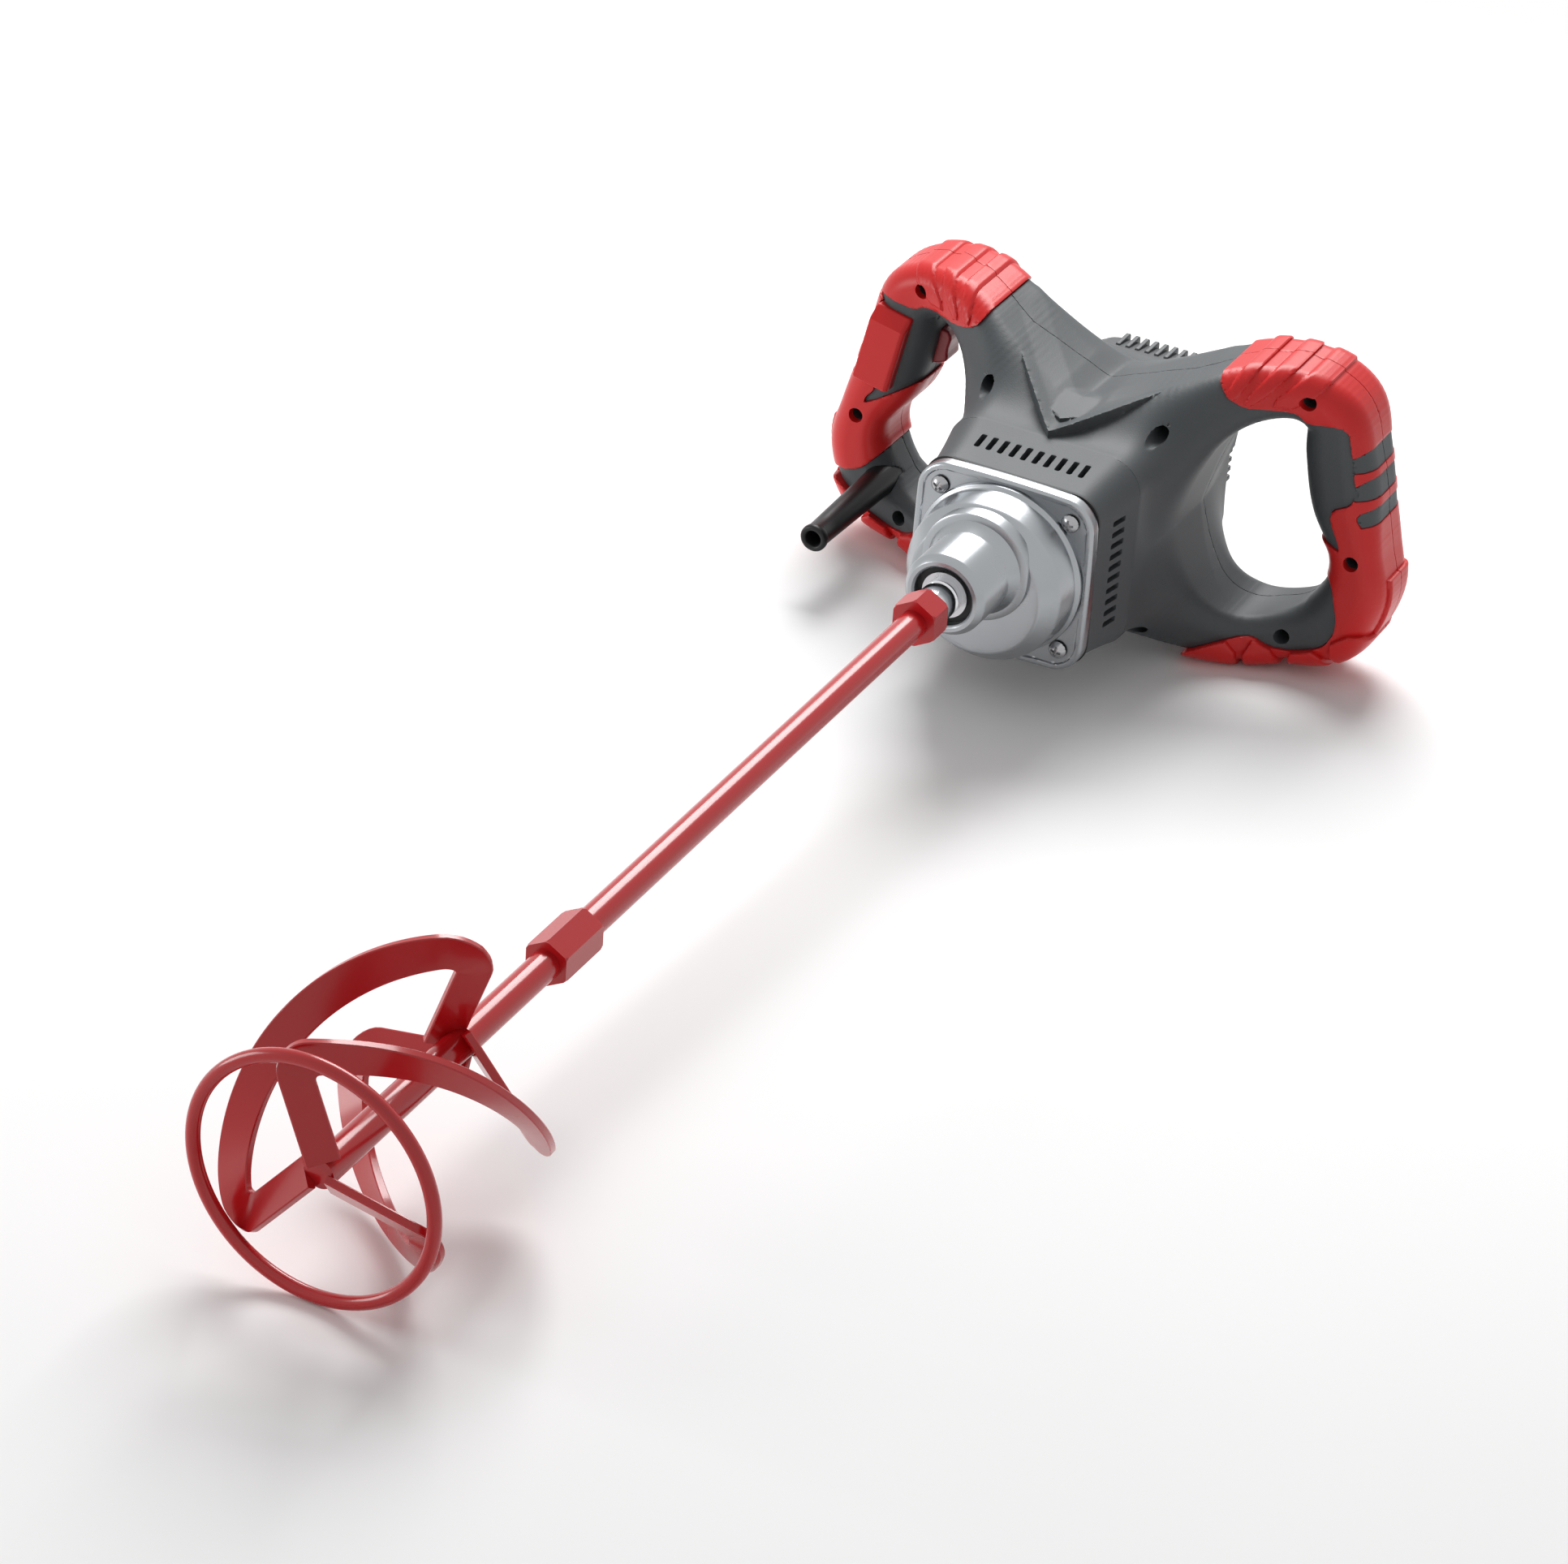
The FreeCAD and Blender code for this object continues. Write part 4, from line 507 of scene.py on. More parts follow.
map_step = 0.25
map_x, map_z = np.arange(0, 190, map_step), np.arange(-125, 100, map_step)
map_shape = (len(map_x), len(map_z))
map_grid = np.stack(np.meshgrid(map_x, map_z, indexing="ij"), -1).reshape(-1, 2)


def curve_through(rows, step_count):
    """Rows of values on a smooth curve through the given rows."""
    rows = np.asarray(rows, float)
    padded = np.vstack([rows[:1], rows, rows[-1:]])
    part = (np.arange(step_count) / step_count)[:, None]
    pieces = [
        (2 * here + (after - before) * part + (2 * before - 5 * here + 4 * after - beyond) * part ** 2
         + (3 * here - before - 3 * after + beyond) * part ** 3) / 2
        for before, here, after, beyond in zip(padded, padded[1:], padded[2:], padded[3:])]
    return np.vstack(pieces + [rows[-1:]])


def nearest_on(line, points):
    """Distance of points in the plane to a line of points, and the place along it."""
    nearest = np.full(len(points), np.inf)
    place = np.zeros(len(points))
    for number, (start, end) in enumerate(zip(line, line[1:])):
        run = end - start
        share = np.clip((points - start) @ run / (run @ run), 0, 1)
        distance = np.sum((points - start - share[:, None] * run) ** 2, 1)
        closer = distance < nearest
        nearest = np.where(closer, distance, nearest)
        place = np.where(closer, number + share, place)
    return np.sqrt(nearest), place


def region_map(corners, rounds=1, share=0.2):
    """Map of the distance to an outline in the X-Z plane, negative inside, with its corners cut."""
    line = np.asarray(corners, float)
    for _ in range(rounds):
        ahead = np.roll(line, -1, 0)
        line = np.stack([line + (ahead - line) * share, ahead + (line - ahead) * share], 1).reshape(-1, 2)
    closed = np.vstack([line, line[:1]])
    distance, _ = nearest_on(closed, map_grid)
    x, z = map_grid.T
    inside = np.zeros(len(x), bool)
    for (x0, z0), (x1, z1) in zip(closed, closed[1:]):
        if z0 != z1:
            inside ^= ((z0 > z) != (z1 > z)) & (x < (x1 - x0) * (z - z0) / (z1 - z0) + x0)
    return np.where(inside, -distance, distance).reshape(map_shape)


def read_maps(across, up, *maps):
    """Values of maps at points of the X-Z plane, worked out between their four nearest grid points."""
    place_x = np.clip(across / map_step, 0, len(map_x) - 1.001)
    place_z = np.clip((up - map_z[0]) / map_step, 0, len(map_z) - 1.001)
    column, row = place_x.astype(int), place_z.astype(int)
    right, above = place_x - column, place_z - row
    result = []
    for grid in maps:
        lower = grid[column, row] * (1 - right) + grid[column + 1, row] * right
        upper = grid[column, row + 1] * (1 - right) + grid[column + 1, row + 1] * right
        result.append(lower * (1 - above) + upper * above)
    return result


stations = curve_through(handle_station_shares, 10)
loop_map, loop_place = nearest_on(np.array(from_shares(stations[:, :2])), map_grid)
loop_map = loop_map.reshape(map_shape)
loop_middle, loop_width, loop_depth = (
    np.interp(loop_place, np.arange(len(stations)), values).reshape(map_shape)
    for values in (flange_front + handle_back * stations[:, 2], grip_half_width * stations[:, 3],
                   grip_half_depth * stations[:, 4]))


def handle_field(points):
    """Distance to the loop on either side."""
    x, y, z = points.T
    away, middle, width, depth = read_maps(np.abs(x), z, loop_map, loop_middle, loop_width, loop_depth)
    return rounded_box(away, y - middle, width, depth, handle_round * width)


crest_half, crest_length, crest_lead, crest_floor = 57.0, 68.0, 1.0, 20
crest_y, crest_rise = (93.0, 198.0), (55.0, 48.5)
crest_slope, crest_ridge, crest_edge, crest_corner, crest_blend = 0.44, 3.0, 0.7, 6.0, 9.0
blend_lead, blend_run = 12, 25
plate_front, plate_back, plate_half, plate_rise, plate_edge = 107.0, 150, 26, 57.4, 0.6
plate_flat, plate_fall, plate_sweep = 26, 0.35, 0.85
back_scale, fall_scale, sweep_scale, seam_scale = 0.9, 0.94, 0.76, 0.9  # keep slanting fields true to length


def head_field(points, loop):
    """The outside of both shells, without the guards."""
    x, y, z = (points - motor_middle).T
    x = np.abs(x)
    core = rounded_box(
        x, z, np.interp(y, housing_y, housing_half_width), np.interp(y, housing_y, housing_half_height),
        housing_corner)
    head = smooth_union(rounded_join(core, y - shell_rear, housing_edge), loop, arm_blend)
    panel = z - np.interp(y, crest_y, crest_rise) - crest_slope * np.hypot(x, crest_ridge)
    steep = crest_length / crest_half
    edge = (shell_front + crest_lead + steep * x - y) / math.hypot(1, steep)
    crest = rounded_join(panel / math.hypot(1, crest_slope), edge, crest_edge)
    crest = rounded_join(crest, common(x - crest_half, (y - crest_y[1]) * back_scale), crest_corner)
    over = z - plate_rise
    plate = common(over, (over + plate_fall * (y - plate_front - plate_flat)) * fall_scale)
    plate = rounded_join(plate, (plate_front + plate_sweep * x - y) * sweep_scale, plate_edge)
    crest = np.minimum(crest, common(plate, x - plate_half, y - plate_back))
    crest = common(crest, crest_floor - z)
    hard = np.minimum(head, crest)
    soft = np.minimum(smooth_union(head, crest, crest_blend), hard)
    share = np.clip((y - shell_front - blend_lead - steep * x) / blend_run, 0, 1)
    return soft * share + hard * (1 - share)


def seam_field(points):
    """How far points lie behind the parting line."""
    return (points[:, 1] - np.interp(np.abs(points[:, 0]), seam_x, seam_y)) * seam_scale


boss_radius = 4.0


def boss_field(points):
    """Recesses of the shell screws."""
    across, up = np.abs(points[:, 0]), points[:, 2]
    return reduce(np.minimum, [common(np.hypot(across - x, up - z) - boss_radius, points[:, 1] - boss_seat(x))
                               for x, z in boss_places])


foot_edge = (
    (0.37, -1.29), (0.38, -0.93), (0.46, -0.81), (0.62, -0.69), (0.69, -0.765), (0.765, -0.775),
    (0.873, -0.7))
guard_outlines = {
    "right_guard": (1, (
        (0.42, 0.954), (0.45, 1.27), (1.2, 1.27), (1.2, -1.29), *foot_edge, (0.915, -0.545), (0.873, -0.26),
        (0.767, -0.236), (0.767, -0.035), (0.847, -0.04), (0.893, -0.058), (0.819, 0.175), (0.917, 0.267),
        (0.883, 0.523), (0.853, 0.738), (0.712, 0.695), (0.682, 0.761), (0.594, 0.779), (0.528, 0.787),
        (0.474, 0.855))),
    "left_top_guard": (-1, (
        (0.43, 0.87), (0.4, 0.977), (0.41, 1.27), (1.2, 1.27), (1.2, 0.71), (0.84, 0.72), (0.751, 0.69),
        (0.698, 0.743), (0.543, 0.775), (0.47, 0.82))),
    "left_side_guard": (-1, (
        (0.633, 0.21), (0.707, 0.203), (0.905, -0.02), (0.902, 0.03), (0.87, 0.09), (0.87, 0.18),
        (0.917, 0.267), (0.883, 0.523), (0.86, 0.705), (1.2, 0.695), (1.2, -0.535), (0.913, -0.477),
        (0.84, -0.35), (0.713, -0.081), (0.633, -0.07))),
    "left_foot_guard": (-1, (*foot_edge, (0.967, -0.57), (1.2, -0.57), (1.2, -1.29))),
}
stripe_outlines = (
    ((128.4, 33), (134.4, 22.5), (178, 37.5), (178, 49)),
    ((131.4, 18.3), (137.8, 8.2), (178, 22.2), (178, 33)),
    ((138.2, 1.4), (142.3, -4.5), (178, 7.8), (178, 18), (140.4, 4.8)),
)
guard_maps = {
    name: (side, region_map(from_shares(shares), 2)) for name, (side, shares) in guard_outlines.items()}
stripe_map = np.min([region_map(outline) for outline in stripe_outlines], 0)
guard_depth, groove, inlay_rise, far_away = 3.0, 0.22, 1.1, 60.0
bore_back, bearing_radius, bearing_back = 206.0, 16.5, 212.0
boot_x, boot_z, boot_hole_radius, boot_end = -124.0, -58.0, 8.4, 179.0
trigger_y, trigger_z, trigger_seat = 191.0, 20.0, -117.0
way_half_depth, way_half_height, way_end = 7.9, 10.4, -80


def shell_field(points):
    """Both shells, with the pockets of the guards."""
    x, y, z = points.T
    loop = handle_field(points)
    head = head_field(points, loop)
    stripe, = read_maps(np.abs(x), z, stripe_map)
    for side, region in guard_maps.values():
        inside, = read_maps(np.maximum(x * side, 0), z, region)
        inside = np.where(x * side > 0, inside, far_away)
        inlay = common(loop - inlay_rise, stripe, inside)
        pocket = cut(inside - groove, stripe + groove, loop + guard_depth + groove)
        head = cut(np.minimum(head, inlay), pocket)
    motor = np.hypot(x, z - motor_z)
    boot = common(np.hypot(x - boot_x, z - boot_z) - boot_hole_radius, y - boot_end)
    way = common(np.abs(y - trigger_y) - way_half_depth, np.abs(z - trigger_z) - way_half_height,
                 trigger_seat - x, x - way_end)
    return cut(common(head, shell_front - y), common(motor - motor_bore, y - bore_back),
               common(motor - bearing_radius, y - bearing_back), boss_field(points), boot, way)


shell_step = 1.3
for name, behind in (("front_shell", -1), ("rear_shell", 1)):
    shell = contour(
        lambda points: common(shell_field(points), line_gap - behind * seam_field(points)), (-166, 90, -110),
        (166, 220, 84), shell_step)
    add_shape(name + "_moulding", shell, body_grey, "housing", "body_grey", name)

# Guards: soft red plastic moulded over the handles, with ridges on top, stripes outside and bumpers under
# the foot. Each sits in a shallow pocket of its shell, with a fine dark groove round it.

ridge_shares = (
    ((0.465, 0.84), (0.5, 0.82), (0.56, 1.07), (0.5, 1.07)),
    ((0.52, 0.82), (0.56, 0.8), (0.68, 1.07), (0.61, 1.07)),
    ((0.59, 0.8), (0.69, 0.79), (0.82, 1.07), (0.73, 1.07)),
)
bumper_shares = (
    ((0.42, -0.83), (0.6, -0.71), (0.585, -1.23), (0.34, -1.23)),
    ((0.625, -0.72), (0.715, -0.755), (0.74, -1.174), (0.605, -1.21)),
    ((0.75, -0.765), (0.86, -0.71), (0.933, -1.0), (0.773, -1.14)),
    ((0.885, -0.66), (0.973, -0.55), (1.1, -0.65), (0.947, -0.977)),
)
outer_bumper_shares = (
    ((1.02, -0.21), (1.0, -0.349), (1.01, -0.488), (0.99, -0.628), (1.2, -0.8), (1.25, -0.15)),
)
ridge_map, bumper_map, outer_bumper_map = (
    np.min([region_map(from_shares(shares)) for shares in outlines], 0)
    for outlines in (ridge_shares, bumper_shares, outer_bumper_shares))
guard_skin, guard_edge, block_edge = 1.6, 0.8, 1.7
ridge_height, bumper_height, outer_bumper_height, outer_bumper_front = 1.5, 3.0, 2.0, 178.0
boot_clear_radius = 8.7
cover_lean = math.radians(12.0)
cover_x, cover_front, cover_z = -127.0, 162.0, 20.0
pocket_half_size, pocket_corner, pocket_back = (10.9, 22.4), 2.4, 185


def cover_place(points):
    """Places across and along the switch cover, which leans with the grip."""
    over_x, over_z = points[:, 0] - cover_x, points[:, 2] - cover_z
    return (over_x * math.cos(cover_lean) - over_z * math.sin(cover_lean),
            over_x * math.sin(cover_lean) + over_z * math.cos(cover_lean))


def guard_field(points, side, region):
    """A guard on one side, front and rear together."""
    x, y, z = points.T
    loop = handle_field(points)
    inside, stripe, ridge, bumper, outer = read_maps(
        np.maximum(x * side, 0), z, region, stripe_map, ridge_map, bumper_map, outer_bumper_map)
    inside = np.where(x * side > 0, inside, far_away)
    outer = common(outer, outer_bumper_front - y)
    guard = rounded_join(loop - guard_skin, inside, guard_edge)
    for blocks, height in ((ridge, ridge_height), (bumper, bumper_height), (outer, outer_bumper_height)):
        raised = rounded_join(loop - guard_skin - height, common(blocks, inside), block_edge)
        guard = np.minimum(guard, raised)
    cover = rounded_box(*cover_place(points), *pocket_half_size, pocket_corner)
    return cut(guard, stripe, loop + guard_depth, np.hypot(x - boot_x, z - boot_z) - boot_clear_radius,
               boss_field(points), common(cover, y - pocket_back))


guard_red = finish_material(
    "red_moulding", (0.62, 0.018, 0.018), (0.57, 0.015, 0.015), (0.28, 0.36), cloud=20.0, grain=1500.0,
    bump=0.12, specular=0.3)
guard_step = 1.15
for name, (side, region) in guard_maps.items():
    reach = (40, 172) if side > 0 else (-172, -40)
    for end, behind in (("_front", -1), ("_rear", 1)):
        guard = contour(
            lambda points: common(guard_field(points, side, region), line_gap - behind * seam_field(points)),
            (reach[0], 120, -112), (reach[1], 220, 84), guard_step)
        add_shape(name + end + "_moulding", guard, guard_red, "housing", "guard_red", name + end)

# Rear cover: a dark moulding over the brush gear, screwed to the rear shell from behind.
# Fins along its top and sides stand over the air inlets.

cover_back, cover_half, cover_edge, cover_wall = 239.0, (43.0, 40.0), 4.0, 4.0
hollow_radius, screw_head_radius, cover_hole_radius = 36.0, 4.0, 2.1
bar_pitch, bar_reach, bar_half, bar_corner, bars_end, bars_front = 7.0, 20.0, 1.5, 1.4, 24.0, 230.0
fin_count, fin_pitch, fin_out, fin_setback = 9, 5.4, 40.0, 7.6
fin_half_size, fin_corner, fin_edge = (1.2, 7.3, 2.9), 1.4, 0.5


def rear_cover_field(points):
    x, y, z = (points - motor_middle).T
    half = np.interp(y, (shell_rear, cover_back), cover_half)
    body = rounded_join(rounded_box(x, z, half, half, housing_corner), y - cover_back, cover_edge)
    hollow = common(np.hypot(x, z) - hollow_radius, y - cover_back + cover_wall)
    screws = np.hypot(np.abs(x) - cover_screw_place, np.abs(z) - cover_screw_place)
    heads = common(screws - screw_head_radius, cover_screw_seat - y)
    bar = np.mod(z + bar_pitch / 2, bar_pitch) - bar_pitch / 2
    grille = common(rounded_box(x, bar, bar_reach, bar_half, bar_corner), np.abs(z) - bars_end)
    return cut(common(body, shell_rear + line_gap - y), hollow, heads, common(grille, bars_front - y),
               screws - cover_hole_radius)


def fin_field(points):
    """One fin along Y, with a round top."""
    x, y, z = points.T
    side = rounded_box(y, z, *fin_half_size[1:], fin_corner)
    return rounded_join(side, np.abs(x) - fin_half_size[0], fin_edge)


cover_dark = finish_material(
    "dark_moulding", (0.05, 0.055, 0.06), (0.04, 0.044, 0.048), (0.4, 0.52), cloud=18.0, grain=1500.0,
    bump=0.3)
add_shape("rear_cover_moulding", contour(rear_cover_field, (-48, 213, -62), (48, 243, 34), 1.0), cover_dark,
          "housing", "cover_dark", "rear_cover")
fin = contour(fin_field, (-3, -10, -5), (3, 10, 5), 0.4)
fin_places, fin_turns = [], []
for number in range(fin_count):
    place = fin_pitch * (number - (fin_count - 1) / 2)
    for quarter, across, up in ((0, place, fin_out), (1, fin_out, place), (-1, -fin_out, place)):
        fin_places.append((across, cover_back - fin_setback, motor_z + up))
        fin_turns.append((0, quarter * math.pi / 2, 0))
fins = placed_copies("rear_cover_fins", new_mesh("rear_fin", *fin, 38.0), fin_places, fin_turns, cover_dark)
add_piece("rear_cover_fins", fins, cover_dark, "housing", "cover_dark")

# Switch cover and trigger: red mouldings on the left handle, the cover snapped over the switch from the
# front. The trigger slides in a slot on the inner side of the grip and pushes the switch's plunger.

box_half_size, box_corner, box_edge, box_back = (10.3, 21.8), 1.6, 0.8, 176.0
end_chamfer, side_chamfer, box_scale, box_sink = (15.0, 0.8), (8.0, 0.5), 0.85, 0.6


def switch_cover_field(points):
    across, along = cover_place(points)
    y = points[:, 1]
    slope = (np.maximum(along - end_chamfer[0], 0) * end_chamfer[1]
             + np.maximum(across - side_chamfer[0], 0) * side_chamfer[1])
    box = rounded_box(across, along, *box_half_size, box_corner)
    box = rounded_join(box, (cover_front + slope - y) * box_scale, box_edge)
    return cut(common(box, y - box_back), handle_field(points) + box_sink)


trigger_travel, trigger_gap = 6.0, 0.5
trigger_back = trigger_seat + trigger_travel + trigger_gap
trigger_reach, trigger_height, trigger_half, trigger_edge = 13.5, 20.0, 7.5, 1.6
stem_radius, stem_length, stem_overlap = 2.5, 11.0, 2
trigger_shares = ((0.0, -0.5), (0.55, -0.5), (0.9, -0.36), (0.86, -0.1), (1.0, 0.32), (0.8, 0.5), (0.0, 0.5))
trigger_map = region_map([(-(trigger_back + trigger_reach * across), trigger_z + trigger_height * up)
                          for across, up in trigger_shares])


def trigger_field(points):
    x, y, z = points.T
    side, = read_maps(-x, z, trigger_map)
    lever = rounded_join(side, np.abs(y - trigger_y) - trigger_half, trigger_edge)
    stem = common(np.hypot(y - trigger_y, z - trigger_z) - stem_radius, trigger_back - stem_length - x,
                  x - trigger_back - stem_overlap)
    return np.minimum(lever, stem)


switch_box = contour(switch_cover_field, (-150, 158, -12), (-104, 182, 52), 0.7)
add_shape("switch_cover_moulding", switch_box, guard_red, "housing", "guard_red", "switch_cover", sharp=30.0)
trigger_red = finish_material(
    "trigger_red", (0.3, 0.016, 0.02), (0.25, 0.012, 0.015), (0.3, 0.4), cloud=40.0, bump=0.1)
trigger = contour(trigger_field, (-125, 180, 6), (-93, 202, 34), 0.6)
add_shape("trigger_moulding", trigger, trigger_red, "trigger", "guard_red", "trigger", sharp=30.0)

# Cord boot: a soft black rubber sleeve with a bead at its open mouth; the shells grip the foot at its
# other end, and a clamp ring behind it holds a cord. It has gone slightly dull with use.

boot_tip, boot_run, bead_length = 93.0, 70.8, 5.2
boot_bore, boot_neck, boot_flare, boot_foot = 4.2, 6.6, 1.7, 8.3
bead_profile = (
    (boot_bore, 1.2), (4.8, 0.2), (5.8, 0.0), (6.8, 0.3), (7.3, 1.1), (7.4, 2.4), (7.2, 3.9), (6.8, 4.7),
    (boot_neck, bead_length))
boot_profile = [(boot_bore, boot_end)] + [(radius, boot_tip + along) for radius, along in bead_profile]
boot_profile += [(boot_neck + boot_flare * share, boot_tip + bead_length + boot_run * share)
                 for share in (0.15, 0.3, 0.45, 0.6, 0.75, 0.9, 1.0)]
boot_profile += [(boot_foot, boot_end)]
clamp_profile = ((4.7, 179.1), (boot_foot, 179.1), (boot_foot, 184.0), (4.7, 184.0))
add_shape("cord_boot_sleeve", lathe(boot_profile, 72, boot_x, boot_z), rubber, "housing", "boot_rubber",
          "cord_boot", sharp=50.0)
add_shape("cord_clamp_ring", lathe(clamp_profile, 48, boot_x, boot_z), cover_dark, "housing", "inner_plastic",
          "cord_clamp", sharp=30.0)

# Paddle: a welded steel stirrer under glossy red paint that screws into the spindle with its hexagon
# adapter. The adapter's neck is bare bright steel, and a hex coupling joins the two shafts.

face_front, neck_front, hex_front = -13.5, -31.5, -46.5
upper_end, coupling_front = -361.5, -393.5
shaft_radius, adapter_web, coupling_web = 7.0, (-34.5, face_front), (-381.5, -373.5)
hexagon_margin, hexagon_step = (4, 3.5), 0.7
corner_share, corner_trim, bevel_run, bevel_scale = 0.577, 0.1, 1.5, 0.8


def hexagon_field(points, across_flats, start, end, bevel, web):
    """A hexagon bar along Y with turned bevels, and sockets for the shafts on both sides of a web."""
    x, y, z = points.T
    out = np.hypot(x, z)
    angles = math.radians(30) + math.radians(60) * np.arange(6)
    sides = np.max([x * math.sin(angle) + z * math.cos(angle) for angle in angles], 0) - across_flats / 2
    ends = common(start - y, y - end)
    cone = out - across_flats * corner_share + corner_trim + bevel * (ends + bevel_run)
    sockets = common(out - shaft_radius, np.minimum(y - web[0], web[1] - y))
    return cut(common(sides, ends, cone * bevel_scale), sockets)


def add_hexagon(name, node, across_flats, start, end, bevel, web):
    """Puts a hexagon bar into the scene in the place of a node."""
    beside, beyond = across_flats / 2 + hexagon_margin[0], hexagon_margin[1]
    bar = contour(lambda points: hexagon_field(points, across_flats, start, end, bevel, web),
                  (-beside, start - beyond, -beside), (beside, end + beyond, beside), hexagon_step)
    add_shape(name, bar, paddle_red, "output", "paddle_paint", node, sharp=25.0)


paddle_red = finish_material(
    "paddle_paint", (0.46, 0.006, 0.009), (0.43, 0.005, 0.008), (0.2, 0.26), cloud=30.0, coat=0.3,
    specular=0.35)
bright_steel = finish_material(
    "bright_steel", (0.72, 0.73, 0.74), (0.62, 0.63, 0.65), (0.1, 0.18), 1.0, cloud=120.0)
neck_profile = (
    (0.5, neck_front), (9.0, neck_front), (9.5, -30.9), (9.5, -20.4), (9.2, -20.0), (8.7, -19.6),
    (8.7, -18.4), (9.2, -18.0), (9.5, -17.6), (9.5, face_front), (6.2, face_front), (6.2, 8.2), (5.9, 8.5),
    (0.5, 8.5))
add_hexagon("adapter_hexagon", "paddle_adapter", 22.0, hex_front, neck_front, 0.45, adapter_web)
add_shape("adapter_neck", lathe(neck_profile, 64), bright_steel, "output", "adapter_steel", sharp=30.0)
add_hexagon("hex_coupling_bar", "hex_coupling", 20.0, coupling_front, upper_end, 0.3, coupling_web)
dress(paddle_red, "upper_shaft", "lower_shaft", "paddle_ring")

# Blades: three strips of steel bent into part of a helix, with a flat arm at each end welded to the lower
# shaft. The guard ring is welded under their lower arms, and the paint runs over the welds.

blade_radius, window_radius, window_corner = 60.0, 44.4, 3.0
arm_half, blade_half, edge_bevel = 5.8, 1.9, 0.5
blade_count = 3
blade_heights = curve_through(((78.6, -466.0), (84, -470.2), (120, -497.8), (160, -528.6), (195, -555.4),
                               (212, -566.5), (226.9, -572.5)), 8)
# Each arm: direction, side of the window, offset, height, radius of the outer corner, slope, start
blade_arms = (
    (math.radians(70.5), 1, 7.3, -466.0, 16.0, 0.85, -4.0),
    (math.radians(230.4), -1, 3.2, -572.5, 13.0, 0.75, 5.0))
arm_count, corner_count, ribbon_count = ((6, 12, 72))


def arm_edge(arm, beside, radius, corner):
    """One edge of an arm from the shaft outwards and round its corner, in plan, and the arm's heights."""
    direction, side, offset, height, _, slope, start = arm
    out = np.array([math.cos(direction), math.sin(direction)])
    window = side * np.array([-out[1], out[0]])
    depth = beside + corner
    reach = math.sqrt((radius - corner) ** 2 - depth ** 2)
    middle = out * reach + window * depth
    line = [out * along + window * beside for along in np.linspace(start, reach, arm_count, endpoint=False)]
    first = math.atan2(-window[1], -window[0])
    last = math.atan2(middle[1], middle[0])
    turn = (last - first + math.pi) % (2 * math.pi) - math.pi
    bend = [middle + corner * np.array([math.cos(first + turn * share), math.sin(first + turn * share)])
            for share in np.linspace(0, 1, corner_count)]
    points = np.array(line + bend)
    return points, height - side * slope * (points @ window - offset)


def blade_edge(beside, radius, corners):
    """One edge of a blade in space: the upper arm, the helix and the lower arm."""
    rows = []
    for arm, corner in zip(blade_arms, corners):
        plan, flat = arm_edge(arm, arm[2] + beside, radius, corner)
        angle = np.mod(np.arctan2(plan[:, 1], plan[:, 0]), 2 * math.pi)
        helix = np.interp(np.degrees(angle), *blade_heights.T)
        share = np.clip((np.arange(len(plan)) - arm_count) / (corner_count - 1), 0, 1)
        blend = share * share * (3 - 2 * share)
        heights = flat * (1 - blend) + helix * blend
        rows.append((np.column_stack([plan[:, 0], heights, plan[:, 1]]), angle[-1]))
    (upper, begin), (lower, finish) = rows
    angles = np.linspace(begin, finish, ribbon_count)[1:-1]
    ribbon = np.column_stack(
        [radius * np.cos(angles), np.interp(np.degrees(angles), *blade_heights.T), radius * np.sin(angles)])
    return np.vstack([upper, ribbon, lower[::-1]])


rim = blade_edge(-arm_half, blade_radius, [arm[4] for arm in blade_arms])
inner = blade_edge(arm_half, window_radius, [window_corner] * 2)
across = (inner - rim) / np.linalg.norm(inner - rim, axis=1)[:, None]
normal = np.cross(np.gradient((rim + inner) / 2, axis=0), across)
normal /= np.linalg.norm(normal, axis=1)[:, None]
flat_half = blade_half - edge_bevel
section = (
    (rim, edge_bevel, blade_half), (inner, -edge_bevel, blade_half), (inner, 0, flat_half),
    (inner, 0, -flat_half), (inner, -edge_bevel, -blade_half), (rim, edge_bevel, -blade_half),
    (rim, 0, -flat_half), (rim, 0, flat_half))
strip = np.stack([edge + across * inset + normal * rise for edge, inset, rise in section], 1)
index = np.arange(strip.size // 3).reshape(strip.shape[:2])
beside = np.roll(index, -1, 1)
sides = np.stack([index[:-1], beside[:-1], beside[1:], index[1:]], -1).reshape(-1, 4)
cap = np.array([(0, 1, 2, 7), (7, 2, 3, 6), (6, 3, 4, 5)])
faces = np.vstack([sides, cap[:, ::-1], cap + index[-1, 0]])
x, y, z = strip.reshape(-1, 3).T
for number in range(blade_count):
    turn = number * 2 * math.pi / blade_count
    corners = np.column_stack(
        [x * math.cos(turn) - z * math.sin(turn), y, x * math.sin(turn) + z * math.cos(turn)])
    name = "mixing_blade_%d" % (number + 1)
    add_shape(name + "_strip", (corners, faces), paddle_red, "output", "paddle_paint", name, sharp=35.0)

# Floor, light and camera: the drill lies on its two handles and on the paddle's ring.
# The floor fades into the white round the drill.

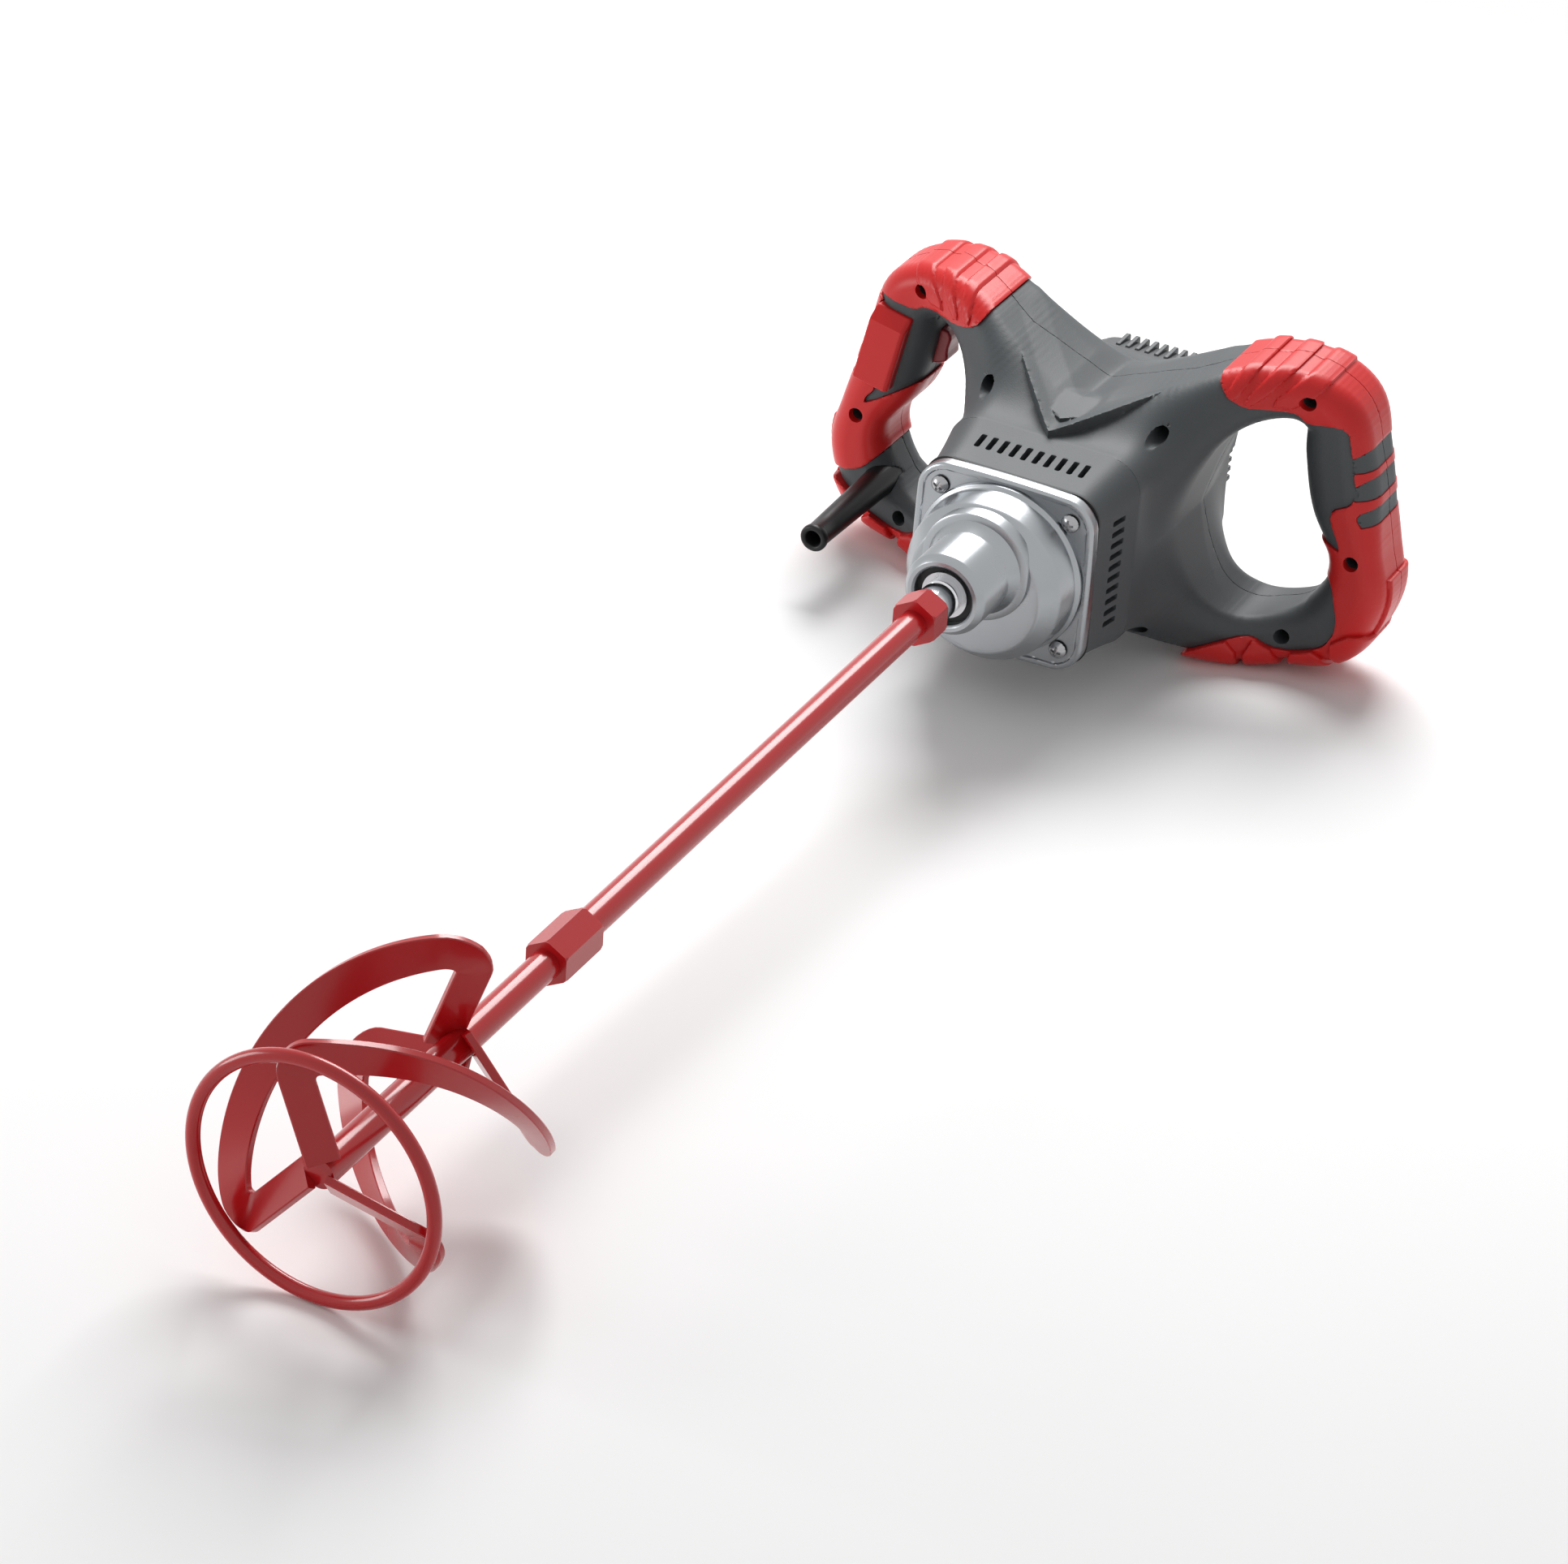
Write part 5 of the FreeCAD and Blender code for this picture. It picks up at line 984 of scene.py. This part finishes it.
foot_low = min(corner.co.z for corner in bpy.data.objects["left_foot_guard_front_moulding"].data.vertices)
ring_low, ring_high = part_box("paddle_ring")
foot_y, floor_gap, floor_half = 0.18, 0.0005, 6.0
floor_slope = (ring_low.z - foot_low) / ((ring_low.y + ring_high.y) / 2 - foot_y)
floor_corners = [(floor_half * x, floor_half * y) for x, y in ((-1, -1), (1, -1), (1, 1), (-1, 1))]
floor_points = [(x, y, foot_low - floor_gap + floor_slope * (y - foot_y)) for x, y in floor_corners]
floor_mesh = bpy.data.meshes.new("floor")
floor_mesh.from_pydata(floor_points, [], [(0, 1, 2, 3)])
floor = new_object("floor", floor_mesh)
floor_white = finish_material("floor_white", (0.93, 0.93, 0.93), (0.91, 0.91, 0.91), (0.75, 0.85), cloud=2.0)
floor_mesh.materials.append(floor_white)
tree = floor_white.node_tree
floor_place, from_middle, fade = new_nodes(tree, "ShaderNode", "TexCoord", "VectorMath", "MapRange")
from_middle.operation = "DISTANCE"
set_inputs(from_middle, {1: (0.0, -0.17, 0.0)})
set_inputs(fade, {"From Min": 0.55, "From Max": 1.3, "To Min": 1.0, "To Max": 0.0})
wire(tree, (floor_place, "Object", from_middle, 0), (from_middle, "Value", fade, "Value"),
     (fade, "Result", tree.nodes["Principled BSDF"], "Alpha"))

world = bpy.data.worlds.new("studio")
scene.world = world
world.use_nodes = True
tree = world.node_tree
background = tree.nodes["Background"]
seen, level, either, any_kind = new_nodes(tree, "ShaderNode", "LightPath", "MapRange", "Math", "Math")
either.operation = any_kind.operation = "MAXIMUM"
set_inputs(background, {"Color": (1, 1, 1, 1)})
set_inputs(level, {"To Min": 0.4, "To Max": 1.0})
wire(tree, (seen, "Is Camera Ray", either, 0), (seen, "Is Glossy Ray", either, 1), (either, 0, any_kind, 0),
     (seen, "Is Transmission Ray", any_kind, 1), (any_kind, 0, level, "Value"),
     (level, "Result", background, "Strength"))

for name, place, target, width, power in (
        ("overhead", (-0.45, 1.25, 1.5), (0, -0.1, 0), 1.2, 48),
        ("left_fill", (-1.5, -0.95, 0.32), (0, -0.45, 0), 0.75, 10)):
    lamp = bpy.data.lights.new(name, "AREA")
    lamp.size, lamp.energy = width, power
    holder = new_object(name, lamp)
    holder.location = place
    holder.rotation_euler = (Vector(target) - Vector(place)).to_track_quat("-Z", "Y").to_euler()

camera_data = bpy.data.cameras.new("camera")
camera = new_object("camera", camera_data)
scene.camera = camera
image_width, focal_pixels = 1932, 6542.57
camera_data.sensor_width = 36.0
camera_data.lens = camera_data.sensor_width * focal_pixels / image_width
camera_right = Vector((0.8806, 0.47, 0.0604))
camera_down = Vector((0.2934, -0.4408, -0.8483))
camera_ahead = Vector((-0.3721, 0.7647, -0.526))
turn = Matrix((camera_right, -camera_down, -camera_ahead)).transposed()
camera.matrix_world = Matrix.Translation((0.9090, -2.0428, 1.2629)) @ turn.to_4x4()

scene.view_settings.view_transform = "Standard"
